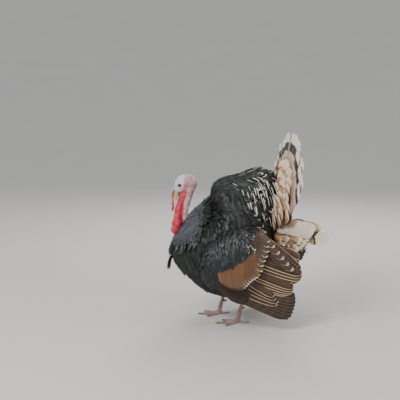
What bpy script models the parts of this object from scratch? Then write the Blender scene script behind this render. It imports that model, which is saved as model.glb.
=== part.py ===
"""Domestic turkey tom in full strut, life size: a still museum model built as closed solids.

Metres, +Z up. The bird faces -X, so its left side is towards -Y, and it stands on the floor at z = 0.
Shapes are laid out from a point on the floor between the feet; the last step of each object moves it
so that the middle of the whole bird's box is at the origin.
Each named object is one sub-part. Neighbours keep a gap of a few tenths of a millimetre.
"""
import bpy
import bmesh
import math
import numpy as np

# ---- driving dimensions, in metres and degrees -------------------------------------------------
GAP = 0.0005                     # clearance between neighbouring sub-parts
BODY_CENTRE = (0.020, 0.360)     # x, z of the middle of the trunk
BODY_HALF_WIDTH = 0.185
HEAD_CENTRE = (-0.152, 0.546)    # x, z of the middle of the skull
HEAD_PITCH = 72.0                # how far the bill points below level
HEAD_HALF_LENGTH = 0.039
TAIL_ROOT = (0.220, 0.0, 0.336)  # where the tail feathers spring from
TAIL_LENGTH = 0.412              # root to tip of the middle tail feathers
TAIL_LEAN = 8.8                  # how far the fan leans back from upright
TAIL_SWEEP = 2.5                 # how far its sides are swept back
TAIL_TURN = -2.5                 # how far the whole tail is turned about upright
FAN_FEATHERS = 14                # raised tail feathers, besides the swept outer ones on each side
FAN_HALF_SPREAD = 59.0
FLIGHT_THICKNESS = 0.0024        # of a layer of flight feathers
WRIST = (-0.018, 0.200, 0.188)   # wing joints on the side of positive y
ELBOW = (0.125, 0.195, 0.355)
FOOT_X = {"left": 0.060, "right": 0.007}
FOOT_Y = 0.070
SHANK_RADIUS = 0.0085
FLOOR_REST = 0.0                 # soles lie here
MIDDLE = (0.082, -0.006, 0.0)    # middle of the whole bird's box on the floor, moved to the origin

# Distance from BODY_CENTRE to the outline of the trunk, seen from the side, by direction in degrees:
# 0 is the tail end, 90 the back, 180 the breast and 270 the belly.
TRUNK_OUTLINE = {
    0: 0.212, 27: 0.240, 49: 0.300, 62: 0.270, 78: 0.238, 104: 0.206, 122: 0.147, 142: 0.148,
    163: 0.168, 188: 0.209, 201: 0.241, 213: 0.247, 227: 0.243, 245: 0.257, 266: 0.275, 286: 0.280,
    303: 0.264, 320: 0.243, 339: 0.220,
}

SIDES = {"left": -1.0, "right": 1.0}


# ---- small tools -------------------------------------------------------------------------------
def clear_scene():
    for obj in list(bpy.data.objects):
        bpy.data.objects.remove(obj, do_unlink=True)


def material(name, colour, roughness, metallic=0.0):
    made = bpy.data.materials.new(name)
    made.use_nodes = True
    shader = made.node_tree.nodes["Principled BSDF"]
    shader.inputs["Base Color"].default_value = (*colour, 1.0)
    shader.inputs["Roughness"].default_value = roughness
    shader.inputs["Metallic"].default_value = metallic
    return made


def new_object(name, points, faces, finish):
    """A mesh object with its normals pointing out."""
    mesh = bpy.data.meshes.new(name)
    mesh.from_pydata([tuple(map(float, np.asarray(p) - MIDDLE)) for p in points], [], faces)
    work = bmesh.new()
    work.from_mesh(mesh)
    bmesh.ops.recalc_face_normals(work, faces=work.faces)
    bmesh.ops.triangulate(work, faces=work.faces)
    work.to_mesh(mesh)
    work.free()
    mesh.shade_smooth()
    mesh.set_sharp_from_angle(angle=math.radians(40))
    mesh.materials.append(finish)
    obj = bpy.data.objects.new(name, mesh)
    bpy.context.scene.collection.objects.link(obj)
    return obj


def loft(name, rings, finish):
    """A closed tube through rings of equal point counts, its ends closed by a fan about their middle."""
    rings = np.asarray(rings, float)
    rows, columns = rings.shape[:2]
    points = list(rings.reshape(-1, 3)) + [rings[0].mean(0), rings[-1].mean(0)]
    start, end = rows * columns, rows * columns + 1
    faces = []
    for c in range(columns):
        d = (c + 1) % columns
        faces += [(r * columns + c, r * columns + d, (r + 1) * columns + d, (r + 1) * columns + c)
                  for r in range(rows - 1)]
        faces.append((start, d, c))
        faces.append((end, (rows - 1) * columns + c, (rows - 1) * columns + d))
    return new_object(name, points, faces, finish)


def slab(name, front, back, finish):
    """A closed plate between two grids of points of the same size."""
    rows, columns = front.shape[:2]
    points = np.concatenate([front.reshape(-1, 3), back.reshape(-1, 3)])
    half = rows * columns
    faces = []
    for r in range(rows - 1):
        for c in range(columns - 1):
            a, b = r * columns + c, (r + 1) * columns + c
            faces.append((a, a + 1, b + 1, b))
            faces.append((half + a, half + b, half + b + 1, half + a + 1))
    rim = [c for c in range(columns)]
    rim += [r * columns + columns - 1 for r in range(1, rows)]
    rim += [(rows - 1) * columns + c for c in range(columns - 2, -1, -1)]
    rim += [r * columns for r in range(rows - 2, 0, -1)]
    for a, b in zip(rim, rim[1:] + rim[:1]):
        faces.append((a, half + a, half + b, b))
    return new_object(name, points, faces, finish)


def cutter(obj, grow=GAP):
    """A hidden copy of obj's own mesh, a little larger, for cutting a neighbour."""
    mesh = obj.data.copy()
    work = bmesh.new()
    work.from_mesh(mesh)
    work.normal_update()
    moves = [v.normal * grow for v in work.verts]
    for vertex, move in zip(work.verts, moves):
        vertex.co += move
    work.to_mesh(mesh)
    work.free()
    made = bpy.data.objects.new("cut_by_" + obj.name, mesh)
    bpy.context.scene.collection.objects.link(made)
    made.matrix_world = obj.matrix_world
    made.hide_render = True
    made.display_type = "WIRE"
    return made


def boolean(obj, other, operation="DIFFERENCE"):
    step = obj.modifiers.new(operation.title() + " " + other.name, "BOOLEAN")
    step.operation = operation
    step.solver = "EXACT"
    step.object = other


def smooth_between(x, knots, values, period=None):
    """Values at x on a cubic curve through the knots, with level-headed slopes at each knot."""
    knots, values = np.asarray(knots, float), np.asarray(values, float)
    if period:
        knots = np.concatenate([knots[-2:] - period, knots, knots[:2] + period])
        values = np.concatenate([values[-2:], values, values[:2]])
    slopes = np.gradient(values, knots)
    x = np.asarray(x, float)
    i = np.clip(np.searchsorted(knots, x, side="right") - 1, 0, len(knots) - 2)
    width = knots[i + 1] - knots[i]
    t = np.clip((x - knots[i]) / width, 0, 1)
    return ((2 * t**3 - 3 * t**2 + 1) * values[i] + (t**3 - 2 * t**2 + t) * width * slopes[i]
            + (3 * t**2 - 2 * t**3) * values[i + 1] + (t**3 - t**2) * width * slopes[i + 1])


def curve_through(points, samples):
    """Evenly numbered samples along a smooth curve through a few points."""
    points = np.asarray(points, float)
    reach = np.concatenate([[0], np.cumsum(np.linalg.norm(np.diff(points, axis=0), axis=1))])
    at = np.linspace(0, reach[-1], samples)
    return np.stack([smooth_between(at, reach, points[:, k]) for k in range(points.shape[1])], axis=1)


def rings_along(path, widths, heights, columns, up=(0, 0, 1)):
    """Oval rings across a path: widths across it, heights towards up."""
    path = np.asarray(path, float)
    ahead = np.gradient(path, axis=0)
    ahead /= np.linalg.norm(ahead, axis=1)[:, None]
    side = np.cross(ahead, np.broadcast_to(np.asarray(up, float), path.shape))
    side /= np.linalg.norm(side, axis=1)[:, None]
    top = np.cross(side, ahead)
    turn = np.linspace(0, 2 * math.pi, columns, endpoint=False)
    return (path[:, None] + side[:, None] * (np.cos(turn)[None, :, None] * np.asarray(widths)[:, None, None])
            + top[:, None] * (np.sin(turn)[None, :, None] * np.asarray(heights)[:, None, None]))


# ---- trunk, neck and head ----------------------------------------------------------------------
def trunk_point(direction, across):
    """Point of the trunk's surface. direction runs round the side outline in degrees; across runs
    from -90 at the left flank through 0 on the midline to 90 at the right flank."""
    reach = smooth_between(np.mod(direction, 360), list(TRUNK_OUTLINE), list(TRUNK_OUTLINE.values()), 360)
    a, b = np.radians(direction), np.radians(across)
    x = BODY_CENTRE[0] + reach * np.cos(a) * np.cos(b)
    z = BODY_CENTRE[1] + reach * np.sin(a) * np.cos(b)
    fullness = smooth_between(z, [0.05, 0.20, 0.36, 0.52, 0.68], [0.80, 0.98, 1.0, 0.86, 0.60])
    chest = 1 - 0.16 * np.clip((-0.05 - x) / 0.16, 0, 1)
    rump = 1 - 0.30 * np.clip((x - 0.06) / 0.16, 0, 1)
    return np.stack([x, BODY_HALF_WIDTH * np.sin(b) * fullness * chest * rump, z], axis=-1)


def make_trunk(finish):
    directions = np.linspace(0, 360, 30, endpoint=False)
    across = np.linspace(-90, 90, 15)[1:-1]
    rings = [trunk_point(directions, np.full_like(directions, b)) for b in across]
    return loft("trunk", rings, finish)


def head_frame():
    """Origin, direction of the bill and direction of the crown, in the midplane."""
    pitch = math.radians(HEAD_PITCH)
    origin = np.array([HEAD_CENTRE[0], 0, HEAD_CENTRE[1]])
    ahead = np.array([-math.cos(pitch), 0, -math.sin(pitch)])
    crown = np.array([-math.sin(pitch), 0, math.cos(pitch)])
    return origin, ahead, crown


def head_rings(stations, half_widths, tops, bottoms, columns=16):
    """Rings of the head at distances along the bill's direction, with the crown side up to tops
    and the throat side down to bottoms."""
    origin, ahead, crown = head_frame()
    turn = np.linspace(0, 2 * math.pi, columns, endpoint=False)
    rings = []
    for t, w, top, low in zip(stations, half_widths, tops, bottoms):
        height = np.where(np.sin(turn) > 0, top, low) * np.sin(turn)
        rings.append(origin + ahead * t + crown * height[:, None]
                     + np.array([0, 1, 0]) * (w * np.cos(turn))[:, None])
    return rings


def make_head(finish):
    """Skull and face: domed behind, drawn in at the cheeks and narrowing to the bill."""
    stations = HEAD_HALF_LENGTH * np.array([-1.0, -0.91, -0.70, -0.38, -0.05, 0.30, 0.60, 0.84, 0.98])
    widths = [0.006, 0.0135, 0.0205, 0.0245, 0.0250, 0.0225, 0.0170, 0.0125, 0.0090]
    tops = [0.008, 0.0155, 0.0215, 0.0265, 0.0290, 0.0275, 0.0235, 0.0185, 0.0120]
    bottoms = [0.008, 0.0150, 0.0190, 0.0230, 0.0245, 0.0230, 0.0180, 0.0135, 0.0085]
    return loft("head", head_rings(stations, widths, tops, bottoms), finish)


def make_bill(name, stations, drop, half_width, half_height, finish):
    """One half of the bill: drop is how far its middle sits below the head's axis at each station."""
    origin, ahead, crown = head_frame()
    path = [origin + ahead * t - crown * d for t, d in zip(stations, drop)]
    return loft(name, rings_along(path, half_width, half_height, 10, up=crown), finish)


def make_neck(finish):
    """From inside the crop up behind the throat, then over into the back of the skull."""
    path = curve_through([(-0.100, 0, 0.345), (-0.141, 0, 0.395), (-0.146, 0, 0.430), (-0.139, 0, 0.462),
                          (-0.131, 0, 0.492), (-0.125, 0, 0.520), (-0.124, 0, 0.544), (-0.132, 0, 0.566)], 11)
    along = np.linspace(0, 1, len(path))
    radius = smooth_between(along, [0, 0.25, 0.42, 0.56, 0.70, 0.82, 0.92, 1.0],
                            [0.014, 0.0155, 0.0165, 0.0180, 0.0220, 0.0290, 0.0335, 0.0200])
    return loft("neck", rings_along(path, radius * 0.95, radius, 16, up=(-1, 0, 0.2)), finish)


def make_snood(finish):
    """The fleshy finger that springs from the forehead and hangs in front of the bill."""
    origin, ahead, crown = head_frame()
    root = origin + ahead * 0.012 + crown * 0.0205
    over = origin + ahead * 0.024 + crown * 0.0305
    path = curve_through([root, over, over + (-0.0030, 0.003, -0.026), over + (-0.0015, 0.004, -0.056),
                          over + (0.0035, 0.004, -0.092)], 11)
    along = np.linspace(0, 1, len(path))
    radius = smooth_between(along, [0, 0.2, 0.6, 0.9, 1], [0.0085, 0.0062, 0.0054, 0.0056, 0.0020])
    return loft("snood", rings_along(path, radius, radius * 0.95, 10, up=(0, 1, 0.1)), finish)


def make_wattle(finish):
    """The bare red throat: a wedge of carunculated skin that hangs over the crop."""
    path = curve_through([(-0.148, 0, 0.520), (-0.156, 0, 0.488), (-0.163, 0, 0.455), (-0.168, 0, 0.420),
                          (-0.1715, 0, 0.386), (-0.1800, 0, 0.348)], 10)
    along = np.linspace(0, 1, len(path))
    width = smooth_between(along, [0, 0.3, 0.6, 0.78, 1], [0.017, 0.0205, 0.0205, 0.0225, 0.0060])
    depth = smooth_between(along, [0, 0.25, 0.55, 0.78, 1], [0.012, 0.0125, 0.0160, 0.0185, 0.0050])
    lumps = 1 + 0.04 * np.sin(along * 34)
    return loft("wattle", rings_along(path, width * lumps, depth * lumps, 14, up=(-1, 0, 0)), finish)


def make_eye(name, side, finish):
    origin, ahead, crown = head_frame()
    centre = origin + ahead * 0.009 + crown * 0.0090 + np.array([0, side * 0.0190, 0])
    ball = bmesh.new()
    bmesh.ops.create_icosphere(ball, subdivisions=2, radius=0.0062)
    points = [np.array(v.co) + centre for v in ball.verts]
    faces = [tuple(v.index for v in f.verts) for f in ball.faces]
    ball.free()
    return new_object(name, points, faces, finish)


def make_beard(finish):
    """The tuft of bristles on the breast."""
    path = curve_through([(-0.170, 0, 0.290), (-0.204, 0, 0.268), (-0.2140, 0, 0.240), (-0.2080, 0, 0.205)], 9)
    along = np.linspace(0, 1, len(path))
    radius = 0.0075 - 0.0048 * along
    return loft("beard", rings_along(path, radius, radius * 0.7, 8, up=(0, 1, 0)), finish)


# ---- feathers laid side by side ----------------------------------------------------------------
def feather_plate(name, blade, count, thickness, finish, rows=(0, 0.6, 1), ripple=0.0012,
                  round_off=0.06):
    """A layer of count overlapping feathers as one plate with a rounded tip for each.
    blade(t) gives root, tip and outward direction for t from 0 to 1 across the layer."""
    steps = np.array([-1, -0.6, 0.5])
    front, back = [], []
    stations = [(i, u) for i in range(count) for u in steps] + [(count - 1, 1.0)]
    for i, u in stations:
        root, tip, out = blade((i + 0.5 + u / 2) / count)
        end = 1 - round_off * abs(u) ** 2.5
        lift = ripple * math.cos(math.pi * u)
        line = [root + (tip - root) * s * end for s in rows]
        front.append([p + out * (thickness / 2 + lift * s) for p, s in zip(line, rows)])
        back.append([p + out * (lift * s - thickness / 2) for p, s in zip(line, rows)])
    return slab(name, np.array(front), np.array(back), finish)


def turned(vector):
    """A vector of the tail, turned with it about upright."""
    turn = math.radians(TAIL_TURN)
    x, y, z = vector
    return np.array([x * math.cos(turn) - y * math.sin(turn), x * math.sin(turn) + y * math.cos(turn), z])


def fan_direction(angle, sweep=TAIL_SWEEP):
    """Unit vector of a tail feather: angle from upright towards +Y, swept back by sweep degrees."""
    a, lean, back = math.radians(angle), math.radians(TAIL_LEAN), math.radians(sweep)
    upright = np.array([math.sin(lean), 0, math.cos(lean)])
    outward = np.array([math.sin(back), math.cos(back) * np.sign(angle or 1), 0])
    return turned(upright * math.cos(a) + outward * abs(math.sin(a)))


def fan_normal():
    """The way the raised fan faces."""
    lean = math.radians(TAIL_LEAN)
    return turned([-math.cos(lean), 0, math.sin(lean)])


def make_tail_fan(finish):
    root = np.array(TAIL_ROOT)

    def blade(t):
        angle = FAN_HALF_SPREAD * (2 * t - 1)
        ahead = fan_direction(angle)
        length = TAIL_LENGTH * (1 - 0.03 * (angle / FAN_HALF_SPREAD) ** 2)
        return root + ahead * 0.045, root + ahead * length, fan_normal()

    return feather_plate("tail_fan", blade, FAN_FEATHERS, 0.0026, finish, round_off=0.045)


def make_tail_outer(side_name, finish):
    """The outermost tail feathers of a side, nearly level, swept back and shorter downwards."""
    root, side = np.array(TAIL_ROOT), SIDES[side_name]

    def blade(t):
        ahead = fan_direction(side * (79 + 15 * t), sweep=20)
        across = np.cross(ahead, (0, 0, 1)) * side
        return root + ahead * 0.070, root + ahead * (0.415 - 0.12 * t), across / np.linalg.norm(across)

    return feather_plate("tail_outer_" + side_name, blade, 3, 0.0026, finish, rows=(0, 0.5, 1), round_off=0.07)


def make_side_coverts(side_name, finish):
    """The soft pale coverts that fill the space between the fan and the outermost feathers."""
    root, side = np.array(TAIL_ROOT), SIDES[side_name]
    shares = np.array([0.14, 0.45, 0.75, 0.93, 1.0])
    front, back = [], []
    for k, t in enumerate(np.linspace(0, 1, 9)):
        ahead = fan_direction(side * (64 + 20 * t), sweep=12 + 8 * t)
        across = np.cross(ahead, (0, 0, 1)) * side
        across /= np.linalg.norm(across)
        line = [root + ahead * s * (0.235 + 0.100 * t) * (1 - 0.04 * (k % 2)) for s in shares]
        pile = 0.020 * (1 - shares**2) + 0.003
        front.append([p - across * (0.0022 + d) for p, d in zip(line, pile)])
        back.append([p - across * 0.0022 for p in line])
    return slab("tail_side_coverts_" + side_name, np.array(front), np.array(back), finish)


def make_tail_coverts(finish):
    """The deep pile of covert feathers in front of the fan's base, thinning outwards."""
    root, out = np.array(TAIL_ROOT), fan_normal()
    angles = np.linspace(-64, 64, 23)
    shares = np.array([0.12, 0.4, 0.7, 0.9, 1.0])
    back, front = [], []
    for k, angle in enumerate(angles):
        ahead = fan_direction(angle)
        length = 0.335 * (1 - 0.10 * (angle / 64) ** 2) * (1 - 0.035 * (k % 2))
        line = [root + ahead * length * s for s in shares]
        pile = 0.040 * (1 - 0.35 * (angle / 64) ** 2) * (1 - shares**2.0) + 0.004
        back.append([p + out * 0.0034 for p in line])
        front.append([p + out * (0.0034 + d) for p, d in zip(line, pile)])
    return slab("tail_coverts", np.array(front), np.array(back), finish)


def make_undertail(finish):
    """The fluffy feathers below and behind the tail's root."""
    stations = np.linspace(0, 1, 9)
    path = curve_through([(0.165, 0, 0.262), (0.215, 0, 0.262), (0.265, 0, 0.272), (0.310, 0, 0.290)], 9)
    size = 0.082 * np.sqrt(np.clip(1 - (2 * stations - 1) ** 2 * 0.97, 0, 1)) * (1.1 - 0.35 * stations)
    return loft("undertail", rings_along(path, size * 1.1, size * 0.80, 16), finish)


# ---- wings -------------------------------------------------------------------------------------
def wing_place(side, x, y, z):
    return np.array([x, side * y, z])


def make_wing_coverts(side_name, finish):
    """The feathered shoulder and forearm, as one shield over the flank."""
    side = SIDES[side_name]
    centre = wing_place(side, 0.035, 0.148, 0.292)
    tilt = math.radians(42)
    long_axis = np.array([math.cos(tilt), 0, math.sin(tilt)])
    cross_axis = np.array([-math.sin(tilt), 0, math.cos(tilt)])
    turns = np.linspace(0, 2 * math.pi, 20, endpoint=False)
    rings = []
    for b in np.linspace(-90, 90, 10)[1:-1]:
        lift, level = math.cos(math.radians(b)), math.sin(math.radians(b))
        reach = 1 + 0.10 * np.cos(turns - math.radians(215)) ** 3
        rings.append(centre + np.array([0, side * 0.072 * level, 0])
                     + long_axis * (0.150 * lift * reach * np.cos(turns))[:, None]
                     + cross_axis * (0.112 * lift * reach * np.sin(turns))[:, None])
    return loft("wing_%s_coverts" % side_name, rings, finish)


def flight_blade(side, low_root, high_root, tips):
    """Roots along a line and tips along a curve, for a layer of a wing that leans out downwards."""
    out = np.array([0.10, 1.0, -0.12]) / np.linalg.norm([0.10, 1.0, -0.12])
    flip = np.array([1, side, 1])
    rim = curve_through(tips, 41)

    def blade(t):
        root = np.array(low_root) + (np.array(high_root) - low_root) * t
        return root * flip, rim[int(round(t * 40))] * flip, out * flip

    return blade


def make_secondaries(side_name, finish):
    """The inner flight feathers, fanned from the forearm down and back."""
    low_root, high_root = np.array(WRIST) + (0.020, 0.006, 0.010), np.array(ELBOW) + (0.020, 0.004, -0.015)
    tips = [(0.170, 0.247, 0.098), (0.232, 0.247, 0.160), (0.268, 0.240, 0.212), (0.278, 0.228, 0.285)]
    blade = flight_blade(SIDES[side_name], low_root, high_root, tips)
    return feather_plate("wing_%s_secondaries" % side_name, blade, 9, FLIGHT_THICKNESS, finish)


def make_primaries(side_name, finish):
    """The outer flight feathers, drooped until their tips hang just over the floor."""
    low_root, high_root = np.array(WRIST) + (0.002, -0.002, -0.040), np.array(WRIST) + (0.050, 0, 0.000)
    tips = [(0.118, 0.236, 0.070), (0.160, 0.240, 0.040), (0.222, 0.240, 0.046), (0.258, 0.238, 0.126)]
    blade = flight_blade(SIDES[side_name], low_root, high_root, tips)
    return feather_plate("wing_%s_primaries" % side_name, blade, 8, FLIGHT_THICKNESS, finish, round_off=0.07)


# ---- legs --------------------------------------------------------------------------------------
def ankle_of(side_name):
    """Where the shank meets the toes."""
    return np.array([FOOT_X[side_name], SIDES[side_name] * FOOT_Y, 0.016])


def hock_of(side_name):
    return ankle_of(side_name) + np.array([0.036, -SIDES[side_name] * 0.004, 0.128])


def make_thigh(side_name, finish):
    """The feathered upper leg, down to just above the bare shank."""
    hock = hock_of(side_name)
    path = curve_through([hock + (-0.020, 0, 0.090), hock + (-0.008, 0, 0.030), hock + (-0.006, 0, -0.025),
                          hock + (-0.014, 0, -0.056)], 8)
    radius = [0.046, 0.052, 0.050, 0.044, 0.036, 0.028, 0.021, 0.013]
    return loft("thigh_" + side_name, rings_along(path, radius, radius, 14, up=(-1, 0, 0)), finish)


def make_shank(side_name, finish):
    ankle, hock = ankle_of(side_name), hock_of(side_name)
    path = curve_through([hock, hock * 0.6 + ankle * 0.4, hock * 0.15 + ankle * 0.85, ankle - (0, 0, 0.004)], 7)
    radius = SHANK_RADIUS * np.array([1.25, 1.02, 0.90, 0.88, 0.92, 1.08, 1.15])
    return loft("foot_" + side_name, rings_along(path, radius * 0.9, radius, 12, up=(-1, 0, 0)), finish)


TOES = {  # heading from straight ahead towards the outside in degrees, length, radius, start height
    "middle": (2, 0.074, 0.0074, 0.0115),
    "inner": (-36, 0.056, 0.0068, 0.0110),
    "outer": (38, 0.058, 0.0068, 0.0110),
    "hind": (168, 0.036, 0.0056, 0.0130),
}


def toe_path(side_name, toe):
    """Centre line of a toe from inside the ankle to its tip, and the heading it ends on."""
    heading, length, radius, height = TOES[toe]
    turn = math.radians(heading) * SIDES[side_name]
    ahead = np.array([-math.cos(turn), math.sin(turn), 0])
    ankle = ankle_of(side_name)
    start = np.array([ankle[0], ankle[1], height])
    along = np.linspace(0, 1, 7)
    lift = radius * 0.36 + (height - radius * 0.36) * (1 - along) ** 3
    return start * (1, 1, 0) + ahead * (along * length)[:, None] + np.array([0, 0, 1]) * lift[:, None], ahead


def make_toe(side_name, toe, finish):
    """A knuckled toe with a flat sole on the floor."""
    path, _ = toe_path(side_name, toe)
    radius = TOES[toe][2] * np.array([1.10, 0.98, 0.86, 1.0, 0.84, 0.90, 0.54])
    rings = rings_along(path, radius, radius, 8)
    rings[:, :, 2] = np.maximum(rings[:, :, 2], FLOOR_REST)
    return loft("toe_%s_%s" % (side_name, toe), rings, finish)


def make_claw(side_name, toe, finish):
    """A blunt curved claw, seated in the end of its toe until it is cut back to the toe's skin."""
    path, ahead = toe_path(side_name, toe)
    root = path[-1] - ahead * 0.0010
    length = 0.017 if toe != "hind" else 0.013
    along = np.linspace(0, 1, 5)
    rise = 0.0020 * np.sin(math.pi * along * 0.8) - 0.0012 * along
    centre = root + ahead * (along * length)[:, None] + np.array([0, 0, 1]) * rise[:, None]
    radius = TOES[toe][2] * np.array([0.50, 0.45, 0.36, 0.24, 0.10])
    rings = rings_along(centre, radius * 0.8, radius, 6)
    rings[:, :, 2] = np.maximum(rings[:, :, 2], FLOOR_REST + 0.0004)
    return loft("claw_%s_%s" % (side_name, toe), rings, finish)


def make_spur(side_name, finish):
    """The short horny spur on the inner back of the shank."""
    ankle, hock = ankle_of(side_name), hock_of(side_name)
    seat = ankle * 0.68 + hock * 0.32
    side = SIDES[side_name]
    path = curve_through([seat + (0.004, -side * 0.003, 0), seat + (0.015, -side * 0.006, 0.001),
                          seat + (0.0225, -side * 0.008, 0.006)], 6)
    radius = 0.0052 * np.array([1.0, 0.92, 0.78, 0.60, 0.38, 0.12])
    return loft("spur_" + side_name, rings_along(path, radius, radius, 8), finish)


def make_leg(side_name, finishes, trunk):
    """Thigh, bare foot with its four toes, claws and spur."""
    thigh = make_thigh(side_name, finishes["down"])
    foot = make_shank(side_name, finishes["scale"])
    sleeve = cutter(foot)
    for toe in TOES:
        helper = make_toe(side_name, toe, finishes["scale"])
        helper.hide_render = True
        helper.display_type = "WIRE"
        boolean(foot, helper, "UNION")
        boolean(make_claw(side_name, toe, finishes["claw"]), cutter(helper, 0.0004))
    spur = make_spur(side_name, finishes["claw"])
    boolean(spur, sleeve)
    boolean(thigh, sleeve)
    boolean(trunk, sleeve)
    return thigh


def main():
    clear_scene()
    finishes = {
        "plumage": material("plumage", (0.030, 0.034, 0.036), 0.45),
        "down": material("down", (0.050, 0.046, 0.042), 0.85),
        "shoulder": material("shoulder", (0.018, 0.026, 0.030), 0.40),
        "flight": material("flight", (0.165, 0.105, 0.070), 0.55),
        "quill": material("quill", (0.100, 0.075, 0.058), 0.55),
        "covert": material("covert", (0.640, 0.520, 0.400), 0.60),
        "fan": material("fan", (0.420, 0.300, 0.220), 0.60),
        "skin": material("skin", (0.560, 0.540, 0.580), 0.50),
        "neck_skin": material("neck_skin", (0.620, 0.330, 0.320), 0.55),
        "red_skin": material("red_skin", (0.600, 0.055, 0.060), 0.40),
        "snood": material("snood", (0.640, 0.200, 0.200), 0.45),
        "horn": material("horn", (0.520, 0.400, 0.240), 0.40),
        "scale": material("scale", (0.330, 0.220, 0.190), 0.55),
        "claw": material("claw", (0.120, 0.095, 0.080), 0.35),
        "eye": material("eye", (0.012, 0.008, 0.006), 0.08),
        "bristle": material("bristle", (0.012, 0.011, 0.010), 0.60),
    }

    trunk = make_trunk(finishes["plumage"])
    neck = make_neck(finishes["neck_skin"])
    head = make_head(finishes["skin"])
    trunk_cut, neck_cut, head_cut = cutter(trunk), cutter(neck), cutter(head)
    boolean(trunk, neck_cut)
    boolean(neck, head_cut)

    upper = make_bill("bill_upper", [0.024, 0.034, 0.045, 0.055, 0.063, 0.0675],
                      [-0.0090, -0.0092, -0.0082, -0.0058, -0.0018, 0.0018],
                      [0.0100, 0.0096, 0.0084, 0.0064, 0.0040, 0.0014],
                      [0.0066, 0.0064, 0.0056, 0.0044, 0.0032, 0.0012], finishes["horn"])
    lower = make_bill("bill_lower", [0.022, 0.033, 0.045, 0.055, 0.061],
                      [0.0078, 0.0086, 0.0090, 0.0088, 0.0080],
                      [0.0088, 0.0082, 0.0070, 0.0048, 0.0018],
                      [0.0040, 0.0040, 0.0036, 0.0028, 0.0012], finishes["horn"])
    snood = make_snood(finishes["snood"])
    wattle = make_wattle(finishes["red_skin"])
    upper_cut, lower_cut = cutter(upper), cutter(lower)
    for piece in (upper, lower, snood, wattle):
        boolean(piece, head_cut)
        boolean(piece, neck_cut)
    boolean(snood, upper_cut)
    boolean(wattle, cutter(snood))
    for other in (trunk_cut, lower_cut, upper_cut):
        boolean(wattle, other)

    for side_name, side in SIDES.items():
        eye = make_eye("eye_" + side_name, side, finishes["eye"])
        boolean(head, cutter(eye, 0.0004))

    beard = make_beard(finishes["bristle"])
    boolean(beard, trunk_cut)

    fan = make_tail_fan(finishes["fan"])
    coverts = make_tail_coverts(finishes["covert"])
    undertail = make_undertail(finishes["down"])
    fan_cut, coverts_cut = cutter(fan), cutter(coverts)
    boolean(fan, trunk_cut)
    boolean(coverts, trunk_cut)
    boolean(undertail, trunk_cut)
    boolean(undertail, fan_cut)
    boolean(undertail, coverts_cut)

    for side_name in SIDES:
        outer = make_tail_outer(side_name, finishes["fan"])
        pad = make_side_coverts(side_name, finishes["covert"])
        outer_cut, pad_cut = cutter(outer), cutter(pad)
        for other in (trunk_cut, coverts_cut, fan_cut):
            boolean(outer, other)
            boolean(pad, other)
        boolean(pad, outer_cut)
        boolean(undertail, outer_cut)
        boolean(undertail, pad_cut)
        thigh = make_leg(side_name, finishes, trunk)
        boolean(thigh, trunk_cut)
        shield = make_wing_coverts(side_name, finishes["shoulder"])
        secondaries = make_secondaries(side_name, finishes["flight"])
        primaries = make_primaries(side_name, finishes["quill"])
        shield_cut = cutter(shield)
        boolean(shield, trunk_cut)
        for plate in (secondaries, primaries):
            boolean(plate, shield_cut)
            boolean(plate, trunk_cut)


main()
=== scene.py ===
import math
import bpy
import numpy as np
from mathutils import Matrix


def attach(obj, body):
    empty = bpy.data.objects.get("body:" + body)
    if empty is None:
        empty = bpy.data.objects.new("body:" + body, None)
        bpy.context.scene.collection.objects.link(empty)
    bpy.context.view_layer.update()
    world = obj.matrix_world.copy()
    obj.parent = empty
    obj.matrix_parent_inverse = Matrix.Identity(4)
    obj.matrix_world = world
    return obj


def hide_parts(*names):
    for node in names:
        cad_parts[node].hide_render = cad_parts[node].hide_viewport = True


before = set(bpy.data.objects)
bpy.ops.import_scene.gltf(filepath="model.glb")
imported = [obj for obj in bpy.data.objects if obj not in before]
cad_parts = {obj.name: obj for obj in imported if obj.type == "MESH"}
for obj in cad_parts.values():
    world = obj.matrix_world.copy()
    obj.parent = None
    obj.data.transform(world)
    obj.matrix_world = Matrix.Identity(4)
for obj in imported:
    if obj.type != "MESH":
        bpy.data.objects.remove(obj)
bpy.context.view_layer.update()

print("frame loaded:", len(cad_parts), "solids")

# Domestic turkey tom in strut, in metres. Shapes are laid out from a point on the floor between the
# feet; the bird faces -x and its left side is towards -y. Every piece is moved by middle at its end,
# which puts the middle of the whole bird's box at the origin, as the solids have it.
middle = np.array([0.082, -0.006, 0.0])
sides = {"left": -1.0, "right": 1.0}
up = np.array([0.0, 0.0, 1.0])


def unit(vectors):  # each vector divided by its length
    return vectors / np.maximum(np.linalg.norm(vectors, axis=-1, keepdims=True), 1e-12)


def dot(a, b):  # the sum of the products of the coordinates
    return (a * b).sum(-1)


def step(x, low, high):  # 0 at low and beyond, 1 at high and beyond, 3t^2 - 2t^3 between
    t = np.clip((x - low) / (high - low), 0, 1)
    return t * t * (3 - 2 * t)


def smoothBetween(x, knots, values, period=None):  # cubic pieces with the slopes of the neighbouring knots
    knots, values = np.asarray(knots, float), np.asarray(values, float)
    if period:
        knots = np.concatenate([knots[-2:] - period, knots, knots[:2] + period])
        values = np.concatenate([values[-2:], values, values[:2]])
    slopes = np.gradient(values, knots)
    i = np.clip(np.searchsorted(knots, x, side="right") - 1, 0, len(knots) - 2)
    width = knots[i + 1] - knots[i]
    t = np.clip((x - knots[i]) / width, 0, 1)
    return ((2 * t**3 - 3 * t**2 + 1) * values[i] + (t**3 - 2 * t**2 + t) * width * slopes[i]
            + (3 * t**2 - 2 * t**3) * values[i + 1] + (t**3 - t**2) * width * slopes[i + 1])


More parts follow.
